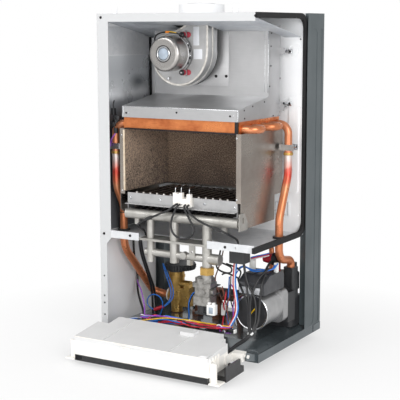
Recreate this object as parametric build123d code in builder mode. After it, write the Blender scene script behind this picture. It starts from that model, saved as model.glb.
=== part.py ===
from build123d import *
import os
from math import cos, pi, radians, sin, tan

os.makedirs("parts", exist_ok=True)

# ---------------------------------------------------------------------------
# Frame: the origin lies on the wall plane, at the middle of the width and level
# with the underside of the base tray. +Z is up and the front faces -Y. mm.
# ---------------------------------------------------------------------------

# overall body
case_width = 410.0
case_height = 740.0
case_depth = 315.0
frame_depth = 85.0          # ribbed frame behind the sealed chamber
sheet = 1.2                 # painted steel sheet
thin = 1.0                  # aluminised sheet of the hood and the combustion box
seat = 0.3                  # gap between a piece and what carries it, on different bodies
running = 0.06              # radial running clearance of a shaft in its bore
slack = 0.25                # radial clearance of a pipe in a grommet, or a screw in a hole

half = case_width / 2
front = -case_depth         # the plane that the front cover seals against
frame_front = -frame_depth
chamber_back_y = frame_front - 1.0   # rear face of the chamber's back wall
chamber_floor_z = 245.0
inner = half - sheet        # inner face of the side panels

# front frame of the chamber
top_bar_height = 18.0
side_flange = 30.0
side_flange_low = 18.7
flange_step_z = 235.0
floor_bar_height = 17.0
notch_left = -99.0
notch_right = 78.0
sheet_notch = 84.0          # the notch runs on behind the right bar, round the third riser
notch_depth = 47.0
flange_hole_r = 2.0
low_hole_heights = (54.5, 82.7, 99.6)

# side opening and its foam gasket
rim_x = half - 12.0
rim_width = 12.0
gasket_thick = 7.0
gasket_corner = 34.0

# base tray
tray_rim = 19.0
tray_plateau = 28.0
plateau_side = 35.0
plateau_front = 57.0
plateau_back = 60.0
tray_wall = 1.5

# flue
flue_y = front + 112.0
flue_outer_r = 50.5
flue_wall = 2.0
flue_height = 19.0
flue_inner_r = 30.0
flue_inner_wall = 1.5
flue_inner_rise = 21.5
peg_r = 6.0
peg_rise = 13.0
peg_x = (-163.0, 142.0)

# fan
fan_x = -55.0
fan_z = 652.0
scroll_width = 44.0
scroll_wall = 2.0
scroll_r_start = 48.0
scroll_r_end = 84.0
scroll_top = 716.0
scroll_inlet_r = 34.0
shaft_r = 4.0
wheel_r = 42.0
wheel_width = 32.0
blade_count = 24
motor_r = 39.0
motor_length = 46.0
ring_radius = 44.0
lobe_circle = 48.0
lobe_r = 9.0
lobe_angles = (60.0, -60.0, 180.0)
grommet_r = 6.5

# fume hood
hood_half = 148.0
hood_front = front + 12.0
hood_back = front + 207.0
hood_low = 512.0
hood_lip = 25.0
hood_throat = 558.0
collector_front = front + 150.0
collector_top = 715.0

# main heat exchanger
core_half = 147.0
core_front = front + 18.0
core_back = front + 204.0
core_low = 487.0
tube_r = 8.7
tube_pitch = 40.0
tube_first_y = front + 30.0
tube_z = 496.0
fin_count = 20
bend_stub = 8.0

# combustion box and burner
box_half = 155.0
box_low = 339.0
skirt_low = 282.0
skirt_back = front + 170.0
post_width = 12.0
board = 12.0
bar_count = 14
bar_pitch = 18.0
bar_width = 6.5
bar_low = 302.0
bar_high = 341.0
bar_front = front + 22.0
bar_back = front + 186.0
plate_low = 320.0
plate_high = 343.0
plate_left = -136.0
plate_right = 146.0

# gas train
rail_y = front + 10.0
riser_y = front + 13.0
rail_z = 296.0
rail_r = 11.0
rail_left = -136.0
rail_right = 152.0
riser_x = (-75.0, -13.0, 71.0)
riser_r = (8.5, 10.0, 10.5)
riser_foot = (190.0, 194.0, 193.0)
distributor_z = 211.0
flange_low = 238.8
flange_high = 243.8
nut_flats = 30.0
nut_height = 16.0
valve_x = 62.0
valve_y = front + 18.0
coil_r = 10.0
coil_height = 16.0
plunger_r = 3.0
plunger_travel = 3.0

# electrodes and ignition leads
lead_r = 2.2
lead_plane = front - 6.0
block_y = front + 5.0

# pump and hydraulic block
pump_x = 157.0
pump_z = 92.0
pump_front = front + 60.0
pump_face_r = 40.5
pump_r = 38.0
pump_length = 98.0
rotor_shaft_r = 5.0
rotor_wheel_r = 30.0
volute_r = 46.0
volute_length = 36.0
block_top = 96.0
vent_r = 12.0
vent_x = 174.0
vent_y = front + 237.0

# diverter valve
diverter_x = -117.0
diverter_y = front + 190.0
diverter_r = 19.0
diverter_top = 129.0
spindle_r = 4.0
spindle_rise = 4.0          # above the body at rest
spindle_travel = 6.0
actuator_r = 36.5
actuator_height = 14.0

# connections through the tray
tail_y = front + 190.0
tail_x = (-117.0, -58.0, 0.0, 58.0, 117.0)
tail_r = (13.2, 10.4, 13.2, 10.4, 13.2)
tail_drop = 8.0
tail_bore = 6.5
tail_neck = 1.0             # step from the thread to the neck in the tray's hole
tail_shoulder = tray_plateau - tray_wall - seat

# copper pipes
pipe_r = 9.0
flow_x = 178.0
return_x = -178.0

# expansion vessel
vessel_half = 150.0
vessel_low = 300.0
vessel_high = 640.0
vessel_depth = 70.0

# control box, in its own plane: origin on the hinge axis, y towards the wall,
# z square to the lid. At rest the box droops a little past level.
hinge_y = front - 41.0
hinge_z = 25.0
droop = 2.6
hinge_pin_r = 4.0
arm_x = 199.5
arm_thick = 2.0
lid_half = 168.0
lid_top = 35.8             # height of the lid at its back edge
lid_top_front = 25.0
lid_block_top = 40.0        # the lid swings past the tray's front edge
lid_low = 15.0
lid_front = -110.0
lid_back = 19.0
lid_notch = -22.0
box_wall = 2.0
shell_low = -17.0
fascia_half = 196.0
fascia_low = -30.0
fascia_front = -112.0
fascia_step = -84.0
fascia_end = -22.0
fascia_back = -8.0
fascia_wall = 2.5
board_z = -4.0
pot_low = -11.0
knob_r = 16.0
knob_gap = 1.2
knob_y = -60.0
knob_x = (-95.0, -40.0)
button_x = 20.0
button_r = 7.0
button_travel = 2.0


def save(part, name):
    """Label one finished piece and write it."""
    part.label = name
    export_step(part, f"parts/{name}.step")


def rod(start, end, radius):
    """A round bar from one point to another."""
    axis = Vector(*end) - Vector(*start)
    with BuildPart() as bar:
        with BuildSketch(Plane(origin=start, z_dir=axis)):
            Circle(radius)
        extrude(amount=axis.length)
    return bar.part


def tube_along(points, radius, bends):
    """A round pipe along straight runs joined by tangent arcs, one radius per corner."""
    with BuildPart() as pipe:
        with BuildLine() as route:
            FilletPolyline(*points, radius=bends)
        with BuildSketch(Plane(origin=points[0], z_dir=Vector(*points[1]) - Vector(*points[0]))):
            Circle(radius)
        sweep(path=route.wires()[0])
    return pipe.part


def bend_radii(points, share=0.45):
    """The largest arc each corner takes: a share of its shorter run."""
    radii = []
    for before, corner, after in zip(points, points[1:], points[2:]):
        run_in = Vector(*corner) - Vector(*before)
        run_out = Vector(*after) - Vector(*corner)
        turn = radians(run_in.get_angle(run_out))
        radii.append(share * min(run_in.length, run_out.length) / tan(turn / 2))
    return radii


def cord(points, radius, label):
    """A cord's tube along its route, with its arcs as large as the runs allow."""
    radii = bend_radii(points)
    piece = tube_along(points, radius, radii)
    print(label, "bends", [round(r, 1) for r in radii], "length", round(piece.volume / (pi * radius**2), 1))
    return piece


# ---------------------------------------------------------------------------
# Chassis
# ---------------------------------------------------------------------------

frame_flange = 19.0
gasket_back = frame_front + 9.0
seat_y = gasket_back + 2.0         # face of the frame's inner flange, behind the gasket
rib_depth = 0.6
rib_low = tray_rim + 4.0
rib_high = case_height - 34.0


def rear_frame(side):
    """One ribbed side of the rear frame: a side panel with two flanges folded inwards."""
    outer = side * half
    inside = side * inner
    edge = side * (half - frame_flange)
    with BuildPart() as channel:
        with BuildSketch(Plane.XY.offset(tray_rim)):
            with BuildLine():
                Polyline(
                    (outer, frame_front), (outer, 0), (edge, 0), (edge, -sheet), (inside, -sheet),
                    (inside, seat_y + sheet), (edge, seat_y + sheet), (edge, seat_y), (inside, seat_y),
                    (inside, frame_front), close=True,
                )
            make_face()
        extrude(amount=case_height - tray_rim)
        # the flanges end above the tray's slope
        with BuildSketch(Plane.XY.offset(tray_rim)):
            with Locations((side * (inner - frame_flange / 2), seat_y / 2)):
                Rectangle(frame_flange, 2 - seat_y)
        extrude(amount=6, mode=Mode.SUBTRACT)
        # a wide and a narrow recess pressed in, with round ends
        for y, width in ((-48.0, 22.0), (-14.0, 7.0)):
            with BuildSketch(Plane.YZ.offset(outer)):
                with Locations((y, (rib_low + rib_high) / 2)):
                    SlotOverall(rib_high - rib_low, width, rotation=90)
            extrude(amount=-side * rib_depth, mode=Mode.SUBTRACT)
    return channel.part


save(rear_frame(1), "rear_frame_right")
save(rear_frame(-1), "rear_frame_left")

# top and bottom bars between the frame's sides, just off the wall
bar_thick = 2.0
bar_tall = (50.0, 30.0)
bar_z = (705.0, tray_plateau + 25.0)
hang_spacing = 300.0
hang_hole_r = 5.0
with BuildPart() as wall_bars:
    for tall, z in zip(bar_tall, bar_z):
        with BuildSketch(Plane.XZ.offset(sheet)):
            with Locations((0, z)):
                Rectangle(2 * inner, tall)
            with Locations((-hang_spacing / 2, z), (hang_spacing / 2, z)):
                Circle(hang_hole_r, mode=Mode.SUBTRACT)
        extrude(amount=bar_thick)
save(wall_bars.part, "wall_bars")

# left casing panel: a flat side with a flange folded in at the front
with BuildPart() as casing_left:
    with BuildSketch(Plane.YZ.offset(-half)):
        with Locations(((front + frame_front) / 2, case_height / 2)):
            Rectangle(frame_front - front, case_height)
    extrude(amount=sheet)
    with BuildSketch(Plane.XZ.offset(-front)):
        with BuildLine():
            Polyline(
                (-half, tray_rim), (-half + side_flange_low, tray_rim),
                (-half + side_flange_low, flange_step_z - 12), (-half + side_flange, flange_step_z),
                (-half + side_flange, case_height - sheet), (-half, case_height - sheet), close=True,
            )
        make_face()
        with Locations(*[(-half + 9.2, z) for z in low_hole_heights]):
            Circle(flange_hole_r, mode=Mode.SUBTRACT)
        with Locations((-half + 11, flange_step_z + 10), (-half + 11, case_height - 9)):
            Circle(flange_hole_r, mode=Mode.SUBTRACT)
    extrude(amount=-sheet)
    # the tray's rim stands inside the panel's foot
    with BuildSketch(Plane.XY):
        with Locations((0, -case_depth / 2)):
            Rectangle(case_width + 1, case_depth + 1)
    extrude(amount=tray_rim, mode=Mode.SUBTRACT)
save(casing_left.part, "casing_left")

# sealed chamber: back and top in one folded sheet
emboss = 2.5                # raised panels pressed into the back wall
top_low = case_height - sheet
rim_edge = gasket_back - rim_width - 1.5   # the rim shows a little inside the gasket
with BuildPart() as chamber_shell:
    with BuildSketch(Plane.XY.offset(top_low)):
        with Locations(((rim_x - inner) / 2, (front + chamber_back_y) / 2)):
            Rectangle(rim_x + inner, chamber_back_y - front)
    extrude(amount=sheet)
    with BuildSketch(Plane.XZ.offset(-chamber_back_y)):
        with Locations(((rim_x - inner) / 2, (chamber_floor_z + top_low) / 2)):
            Rectangle(rim_x + inner, top_low - chamber_floor_z)
    extrude(amount=sheet)
    # front bar
    with BuildSketch(Plane.XZ.offset(-front)):
        with Locations(((rim_x - half + side_flange) / 2, case_height - top_bar_height / 2)):
            Rectangle(rim_x + half - side_flange, top_bar_height)
        with Locations((half - 11, case_height - 8)):
            Circle(flange_hole_r, mode=Mode.SUBTRACT)
    extrude(amount=-sheet)
    # rim round the side opening, which the gasket lies on
    with BuildSketch(Plane.YZ.offset(rim_x)):
        with Locations(((front + seat_y) / 2, case_height - rim_width / 2)):
            Rectangle(seat_y - front, rim_width)
        with Locations(((rim_edge + seat_y) / 2, (chamber_floor_z + case_height) / 2)):
            Rectangle(seat_y - rim_edge, case_height - chamber_floor_z)
    extrude(amount=-sheet)
    # flue opening, and the panels pressed into the back wall
    with BuildSketch(Plane.XY.offset(top_low)):
        with Locations((0, flue_y)):
            Circle(flue_outer_r - flue_wall)
    extrude(amount=sheet, mode=Mode.SUBTRACT)
    with BuildSketch(Plane.XZ.offset(-chamber_back_y + sheet)):
        with Locations((172, 657)):
            Circle(17)
            Circle(13, mode=Mode.SUBTRACT)
            Circle(9)
        with Locations((173, 446)):
            RectangleRounded(24, 220, 8)
        with Locations((145, 298)):
            Rectangle(39, 36)
            Rectangle(33, 30, mode=Mode.SUBTRACT)
    extrude(amount=emboss)
    with BuildSketch(Plane.XZ.offset(-chamber_back_y)):
        with Locations((187, 683), (187, 534), (187, 285)):
            Circle(2.2)
    extrude(amount=sheet, mode=Mode.SUBTRACT)
    # pegs that the cover hooks on
    with BuildSketch(Plane.XY.offset(case_height)):
        with Locations(*[(x, front + 10) for x in peg_x]):
            Circle(peg_r)
    extrude(amount=peg_rise)
save(chamber_shell.part, "chamber_shell")

# chamber floor, with its front bar in two lengths beside the manifold notch
rim_drop = 6.0
flow_hole_y = front + 148.0
return_hole_y = front + 57.0
grommet_outer = pipe_r + 5.5
lead_holes = ((-85.0, front + 36.0), (128.0, front + 30.0))
lead_hole_r = 5.0
floor_low = chamber_floor_z - sheet
with BuildPart() as chamber_floor:
    with BuildSketch(Plane.XY.offset(floor_low)):
        with BuildLine():
            Polyline(
                (-inner, front + sheet), (notch_left, front + sheet), (notch_left, front + notch_depth),
                (sheet_notch, front + notch_depth), (sheet_notch, front + sheet), (rim_x, front + sheet),
                (rim_x, chamber_back_y - sheet), (-inner, chamber_back_y - sheet), close=True,
            )
        make_face()
        with Locations((flow_x, flow_hole_y), (return_x, return_hole_y)):
            Circle(grommet_outer - 3, mode=Mode.SUBTRACT)
        with Locations(*lead_holes[1:]):
            Circle(lead_hole_r, mode=Mode.SUBTRACT)
    extrude(amount=sheet)
    bar_low_z = chamber_floor_z + 9 - floor_bar_height
    for left_end, right_end in ((-half + side_flange, notch_left), (notch_right, rim_x)):
        with BuildSketch(Plane.XZ.offset(-front)):
            with Locations(((left_end + right_end) / 2, bar_low_z + floor_bar_height / 2)):
                Rectangle(right_end - left_end, floor_bar_height)
            with Locations(((left_end + right_end) / 2 + 13, chamber_floor_z)):
                Circle(flange_hole_r, mode=Mode.SUBTRACT)
        extrude(amount=-sheet)
    with BuildSketch(Plane.YZ.offset(rim_x)):
        with Locations(((front + seat_y) / 2, chamber_floor_z - rim_drop / 2)):
            Rectangle(seat_y - front, rim_drop)
    extrude(amount=-sheet)
save(chamber_floor.part, "chamber_floor")

# foam gasket round the side opening, open at the front
gasket_low = chamber_floor_z - rim_drop
gasket_nose = 10.0


def gasket_loop(inset):
    """The outline of the gasket's loop, set in by an amount, with its rear corners rounded."""
    back = gasket_back - inset
    low = gasket_low + inset
    high = case_height - inset
    with BuildSketch(mode=Mode.PRIVATE) as loop:
        with Locations(((front + back) / 2, (low + high) / 2)):
            Rectangle(back - front, high - low)
        fillet(loop.vertices().group_by(Axis.X)[-1], gasket_corner - inset)
    return Plane.YZ.offset(rim_x) * loop.sketch


with BuildPart() as side_gasket:
    extrude(gasket_loop(0), amount=gasket_thick)
    extrude(gasket_loop(rim_width), amount=gasket_thick, mode=Mode.SUBTRACT)
    # the lower end stands out in front of the floor's bar
    with BuildSketch(Plane.YZ.offset(rim_x)):
        with Locations((front - gasket_nose / 2, gasket_low + rim_width / 2)):
            Rectangle(gasket_nose, rim_width)
    extrude(amount=gasket_thick)
save(side_gasket.part, "side_gasket")

# base tray: a rim, slopes up to a raised plateau, and two arms for the control box
cap_length = 38.0
with BuildPart() as base_tray:
    with BuildSketch(Plane.XY):
        with Locations((0, -case_depth / 2)):
            Rectangle(case_width, case_depth)
    extrude(amount=tray_rim)
    with BuildSketch(Plane.XY.offset(tray_rim)):
        with Locations((0, -case_depth / 2)):
            Rectangle(case_width - 6, case_depth - 6)
    with BuildSketch(Plane.XY.offset(tray_plateau)):
        with Locations((0, (front + plateau_front - plateau_back) / 2)):
            Rectangle(case_width - 2 * plateau_side, case_depth - plateau_front - plateau_back)
    loft()
    offset(amount=-tray_wall, openings=base_tray.faces().sort_by(Axis.Z)[0])
    for x, r in zip(tail_x, tail_r):
        with BuildSketch(Plane.XY.offset(tray_plateau)):
            with Locations((x, tail_y)):
                Circle(r - tail_neck + slack)
        extrude(amount=-tray_plateau, mode=Mode.SUBTRACT)
    # hinge arms, folded forward from the rim
    for side in (-1, 1):
        with BuildSketch(Plane.YZ.offset(side * arm_x - arm_thick / 2)):
            with BuildLine():
                Polyline(
                    (front, 3), (front, tray_rim - 1), (hinge_y, hinge_z + 8), (hinge_y - 8, hinge_z),
                    (hinge_y - 4, hinge_z - 8), close=True,
                )
            make_face()
            with Locations((hinge_y, hinge_z)):
                Circle(hinge_pin_r + running, mode=Mode.SUBTRACT)
        extrude(amount=arm_thick)
    # folded caps on the two rear corners
    for side in (-1, 1):
        with BuildSketch(Plane.YZ.offset(side * half)):
            with Locations((-cap_length / 2, tray_rim / 2)):
                Rectangle(cap_length, tray_rim - 2)
        extrude(amount=side * 1.0)
save(base_tray.part, "base_tray")

# ---------------------------------------------------------------------------
# Flue and fan
# ---------------------------------------------------------------------------

scroll_spigot = 14.0        # height of the scroll's outlet spigot
inner_spigot_low = scroll_top + scroll_spigot + seat
with BuildPart() as flue_collar:
    with BuildSketch(Plane.XY.offset(case_height)):
        with Locations((0, flue_y)):
            Circle(flue_outer_r)
            Circle(flue_outer_r - flue_wall, mode=Mode.SUBTRACT)
    extrude(amount=flue_height)
    with BuildSketch(Plane.XY.offset(inner_spigot_low)):
        with Locations((0, flue_y)):
            Circle(flue_inner_r)
            Circle(flue_inner_r - flue_inner_wall, mode=Mode.SUBTRACT)
    extrude(amount=case_height + flue_inner_rise - inner_spigot_low)
    with BuildSketch(Plane.XY.offset(case_height)):
        with Locations((0, flue_y)):
            Circle(flue_outer_r + 6)
            Circle(flue_outer_r - flue_wall, mode=Mode.SUBTRACT)
    extrude(amount=1.2)
    # three webs hold the inner tube in the collar
    with BuildSketch(Plane.XY.offset(case_height)):
        with Locations((0, flue_y)):
            with PolarLocations((flue_inner_r + flue_outer_r - flue_wall) / 2, 3, start_angle=90):
                Rectangle(flue_outer_r - flue_inner_r, 1.5)
    extrude(amount=6)
save(flue_collar.part, "flue_collar")


def spiral_point(angle, grow=0.0):
    """A point on the scroll's spiral; angle 0 is straight up, 270 is to the right."""
    radius = scroll_r_start + (scroll_r_end - scroll_r_start) * angle / 270 + grow
    return (fan_x - radius * sin(radians(angle)), fan_z + radius * cos(radians(angle)))


def scroll_outline(grow=0.0, top=scroll_top):
    """The scroll's outline: an outlet going up and a spiral of three pairs of arcs."""
    right = fan_x + scroll_r_end + grow
    left = -right
    with BuildSketch(Plane.XZ, mode=Mode.PRIVATE) as outline:
        with BuildLine():
            Line((right, fan_z), (right, top))
            Line((right, top), (left, top))
            Line((left, top), spiral_point(0, grow))
            for first in (0, 90, 180):
                ThreePointArc(
                    spiral_point(first, grow), spiral_point(first + 45, grow), spiral_point(first + 90, grow)
                )
        make_face()
    return outline.sketch


scroll_front = flue_y - scroll_width / 2
spigot_r = flue_inner_r - flue_inner_wall - 0.4
with BuildPart() as fan_scroll:
    extrude(scroll_outline().moved(Location((0, scroll_front, 0))), amount=-scroll_width)
    extrude(scroll_outline(3.0, scroll_top - 3).moved(Location((0, flue_y - 2, 0))), amount=-4)
    with BuildSketch(Plane.XY.offset(scroll_top)):
        with Locations((0, flue_y)):
            Circle(spigot_r)
    extrude(amount=scroll_spigot)
    # the hollow: spiral, outlet and spigot bore
    extrude(
        scroll_outline(-scroll_wall, scroll_top - scroll_wall).moved(
            Location((0, scroll_front + scroll_wall, 0))
        ),
        amount=-(scroll_width - 2 * scroll_wall), mode=Mode.SUBTRACT,
    )
    with BuildSketch(Plane.XY.offset(scroll_top - 2 * scroll_wall)):
        with Locations((0, flue_y)):
            Circle(scroll_width / 2 - scroll_wall)
    extrude(amount=30, mode=Mode.SUBTRACT)
    # shaft hole in front, inlet collar behind, up to the hood
    with BuildSketch(Plane.XZ.offset(-scroll_front)):
        with Locations((fan_x, fan_z)):
            Circle(shaft_r + 4)
    extrude(amount=-scroll_wall, mode=Mode.SUBTRACT)
    with BuildSketch(Plane.XZ.offset(-(scroll_front + scroll_width))):
        with Locations((fan_x, fan_z)):
            Circle(scroll_inlet_r + scroll_wall)
    extrude(amount=-(collector_front - scroll_front - scroll_width))
    with BuildSketch(Plane.XZ.offset(-(scroll_front + scroll_width - scroll_wall))):
        with Locations((fan_x, fan_z)):
            Circle(scroll_inlet_r)
    extrude(amount=-30, mode=Mode.SUBTRACT)
save(fan_scroll.part, "fan_scroll")

ring_gap = 3.0
ring_thick = 2.0
ring_front = scroll_front - ring_gap - ring_thick
motor_back = ring_front
motor_front = motor_back - motor_length
motor_bore = 34.0
wheel_front = scroll_front + (scroll_width - wheel_width) / 2

with BuildPart() as fan_motor:
    with BuildSketch(Plane.XZ.offset(-motor_front)):
        with Locations((fan_x, fan_z)):
            Circle(motor_r)
    extrude(amount=-motor_length)
    fillet(fan_motor.edges().filter_by(GeomType.CIRCLE).group_by(Axis.Y)[0], 8)
    # dished ring round the bearing boss
    with BuildSketch(Plane.XZ.offset(-motor_front)):
        with Locations((fan_x, fan_z)):
            Circle(16)
            Circle(12, mode=Mode.SUBTRACT)
    extrude(amount=-2, mode=Mode.SUBTRACT)
    with BuildSketch(Plane.XZ.offset(-motor_back)):
        with Locations((fan_x, fan_z)):
            Circle(shaft_r + running)
    extrude(amount=motor_bore, mode=Mode.SUBTRACT)
save(fan_motor.part, "fan_motor")

lobes = [
    (fan_x + lobe_circle * cos(radians(a)), fan_z + lobe_circle * sin(radians(a))) for a in lobe_angles
]
with BuildPart() as fan_mount_ring:
    with BuildSketch(Plane.XZ.offset(-ring_front)):
        with Locations((fan_x, fan_z)):
            Circle(ring_radius)
        with Locations(*lobes):
            Circle(lobe_r)
        with Locations(*lobes):
            Circle(grommet_r - 2 + slack, mode=Mode.SUBTRACT)
        with Locations((fan_x, fan_z)):
            Circle(shaft_r + 4, mode=Mode.SUBTRACT)
            with PolarLocations(ring_radius, 2, start_angle=-14, angular_range=28, endpoint=True):
                Rectangle(8, 5, mode=Mode.SUBTRACT)
    extrude(amount=-ring_thick)
save(fan_mount_ring.part, "fan_mount_ring")

# rubber grommets with their screws' heads, one solid each
with BuildPart() as fan_grommets:
    for x, z in lobes:
        with BuildSketch(Plane.XZ.offset(-(ring_front - 3))):
            with Locations((x, z)):
                Circle(grommet_r)
        extrude(amount=-(3 - 0.1))
        with BuildSketch(Plane.XZ.offset(-(ring_front - 0.2))):
            with Locations((x, z)):
                Circle(grommet_r - 2)
        extrude(amount=-(ring_thick + 0.4))
        with BuildSketch(Plane.XZ.offset(-(ring_front + ring_thick + 0.1))):
            with Locations((x, z)):
                Circle(grommet_r)
        extrude(amount=-(ring_gap - 0.1))
save(fan_grommets.part, "fan_grommets")

# impeller with its shaft
with BuildPart() as fan_impeller:
    with BuildSketch(Plane.XZ.offset(-wheel_front)):
        with Locations((fan_x, fan_z)):
            Circle(wheel_r)
    extrude(amount=-1.5)
    with BuildSketch(Plane.XZ.offset(-wheel_front)):
        with Locations((fan_x, fan_z)):
            with PolarLocations(wheel_r - 6, blade_count):
                Rectangle(11, 1.0, rotation=35)
    extrude(amount=-wheel_width)
    with BuildSketch(Plane.XZ.offset(-(wheel_front + wheel_width - 1.5))):
        with Locations((fan_x, fan_z)):
            Circle(wheel_r)
            Circle(scroll_inlet_r + 2, mode=Mode.SUBTRACT)
    extrude(amount=-1.5)
    with BuildSketch(Plane.XZ.offset(-wheel_front)):
        with Locations((fan_x, fan_z)):
            Circle(10)
    extrude(amount=-14)
    with BuildSketch(Plane.XZ.offset(-(motor_back - motor_bore + 3))):
        with Locations((fan_x, fan_z)):
            Circle(shaft_r)
    extrude(amount=-(wheel_front + 10 - motor_back + motor_bore - 3))
save(fan_impeller.part, "fan_impeller")

# ---------------------------------------------------------------------------
# Hood, heat exchanger, combustion box and burner
# ---------------------------------------------------------------------------


def hood_profile(inset):
    """The hood's side profile, set in by a wall all round."""
    with BuildSketch(Plane.YZ, mode=Mode.PRIVATE) as side:
        with BuildLine():
            Polyline(
                (hood_front + inset, hood_low - (inset)),
                (hood_front + inset, hood_low + hood_lip - inset),
                (collector_front + inset, hood_throat - inset),
                (collector_front + inset, collector_top - inset), (hood_back - inset, collector_top - inset),
                (hood_back - inset, hood_low - (inset and 1)), close=True,
            )
        make_face()
    return side.sketch


with BuildPart() as fume_hood:
    extrude(hood_profile(0).moved(Location((-hood_half, 0, 0))), amount=2 * hood_half)
    extrude(
        hood_profile(thin).moved(Location((-hood_half + thin, 0, 0))), amount=2 * hood_half - 2 * thin,
        mode=Mode.SUBTRACT,
    )
    with BuildSketch(Plane.XZ.offset(-collector_front)):
        with Locations((fan_x, fan_z)):
            Circle(scroll_inlet_r)
    extrude(amount=-thin, mode=Mode.SUBTRACT)
    # tabs with studs that fix the hood to the back wall
    for z in (657, 531):
        with BuildSketch(Plane.XZ.offset(-hood_back)):
            with Locations((hood_half + 5, z), (-hood_half - 5, z)):
                Rectangle(12, 14)
        extrude(amount=thin)
        with BuildSketch(Plane.XZ.offset(-hood_back)):
            with Locations((hood_half + 4, z), (-hood_half - 4, z)):
                Circle(2.5)
        extrude(amount=hood_back - chamber_back_y + sheet)
    # raised double edge on the right of the collector
    with BuildSketch(Plane.XZ.offset(-collector_front)):
        with Locations((hood_half - 8, (hood_throat + collector_top) / 2 + 4)):
            Rectangle(12, collector_top - hood_throat - 10)
    extrude(amount=1.5)
save(fume_hood.part, "fume_hood")

tube_ys = [tube_first_y + tube_pitch * i for i in range(5)]
with BuildPart() as heat_exchanger:
    with BuildSketch(Plane.XY.offset(core_low)):
        with Locations((0, (core_front + core_back) / 2)):
            Rectangle(2 * core_half, core_back - core_front)
            Rectangle(2 * core_half - 4, core_back - core_front - 4, mode=Mode.SUBTRACT)
    extrude(amount=hood_low - core_low)
    fin_pitch = (2 * core_half - 20) / (fin_count - 1)
    with BuildSketch(Plane.XY.offset(core_low + 1)):
        with Locations((0, (core_front + core_back) / 2)):
            with GridLocations(fin_pitch, 1, fin_count, 1):
                Rectangle(0.8, core_back - core_front - 2)
    extrude(amount=hood_low - core_low - 2)
    with BuildSketch(Plane.YZ.offset(-core_half - 6)):
        with Locations(*[(y, tube_z) for y in tube_ys]):
            Circle(tube_r)
    extrude(amount=2 * core_half + 12)
save(heat_exchanger.part, "heat_exchanger")


def return_bend(side, first):
    """A U-bend that joins two neighbouring tubes at one end of the core."""
    start = side * (core_half + 6)
    reach = side * (core_half + 6 + bend_stub)
    y_first, y_second = tube_ys[first], tube_ys[first + 1]
    with BuildPart() as bend:
        with BuildLine() as path:
            Line((start, y_first, tube_z), (reach, y_first, tube_z))
            ThreePointArc(
                (reach, y_first, tube_z), (reach + side * tube_pitch / 2, (y_first + y_second) / 2, tube_z),
                (reach, y_second, tube_z),
            )
            Line((reach, y_second, tube_z), (start, y_second, tube_z))
        with BuildSketch(Plane(origin=(start, y_first, tube_z), z_dir=(side, 0, 0))):
            Circle(tube_r)
        sweep(path=path.wires()[0])
    return bend.part


save(Compound(children=[return_bend(1, 0), return_bend(1, 2), return_bend(-1, 1), return_bend(-1, 3)]),
     "return_bends")

with BuildPart() as combustion_casing:
    with BuildSketch(Plane.XY.offset(box_low)):
        with Locations((0, (hood_front + hood_back) / 2)):
            Rectangle(2 * box_half, hood_back - hood_front)
            Rectangle(2 * box_half - 2 * thin, hood_back - hood_front - 2 * thin, mode=Mode.SUBTRACT)
        with Locations((0, hood_front)):
            Rectangle(2 * (box_half - post_width), 4 * thin, mode=Mode.SUBTRACT)
    extrude(amount=core_low - box_low)
    # narrower skirt that carries the burner
    with BuildSketch(Plane.XY.offset(skirt_low)):
        for side in (-1, 1):
            with Locations((side * (box_half - thin / 2), (hood_front + skirt_back) / 2)):
                Rectangle(thin, skirt_back - hood_front)
    extrude(amount=box_low - skirt_low)
    with BuildSketch(Plane.YZ.offset(-box_half - 1)):
        with BuildLine():
            Polyline(
                (hood_front - 1, skirt_low - 1), (hood_front + 33, skirt_low - 1), (hood_front - 1, skirt_low + 22),
                close=True,
            )
        make_face()
    extrude(amount=2 * box_half + 2, mode=Mode.SUBTRACT)
    # ledges under the heat exchanger
    with BuildSketch(Plane.XY.offset(core_low - thin)):
        for side in (-1, 1):
            with Locations((side * (box_half - 6), (hood_front + hood_back) / 2)):
                Rectangle(12, hood_back - hood_front)
    extrude(amount=thin)
save(combustion_casing.part, "combustion_casing")

board_low = box_low + 6
board_high = core_low - thin - 0.2
board_front = hood_front + 2
board_back = hood_back - thin
board_outer = box_half - thin
with BuildPart() as insulation_boards:
    with BuildSketch(Plane.XY.offset(board_low)):
        for side in (-1, 1):
            with Locations((side * (board_outer - board / 2), (board_front + board_back) / 2)):
                Rectangle(board, board_back - board_front)
        with Locations((0, board_back - board / 2)):
            Rectangle(2 * (board_outer - board) - 0.4, board)
    extrude(amount=board_high - board_low)
save(insulation_boards.part, "insulation_boards")

bar_xs = [bar_pitch * (i - (bar_count - 1) / 2) for i in range(bar_count)]
slot_pitch = 12.0
with BuildPart() as burner_bars:
    for x in bar_xs:
        with BuildSketch(Plane.XZ.offset(-bar_front)):
            with BuildLine():
                Polyline(
                    (x - bar_width / 2, bar_low), (x + bar_width / 2, bar_low), (x + bar_width / 2, bar_high - 6),
                    (x + 1.5, bar_high), (x - 1.5, bar_high), (x - bar_width / 2, bar_high - 6), close=True,
                )
            make_face()
        extrude(amount=-(bar_back - bar_front))
    # cross slots in the flame ports
    slot_count = int((bar_back - bar_front) / slot_pitch) - 1
    with BuildSketch(Plane.XY.offset(bar_high)):
        with Locations((0, (bar_front + bar_back) / 2)):
            with GridLocations(1, slot_pitch, 1, slot_count):
                Rectangle(2 * box_half, 1.6)
    extrude(amount=-3, mode=Mode.SUBTRACT)
save(burner_bars.part, "burner_bars")

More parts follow.
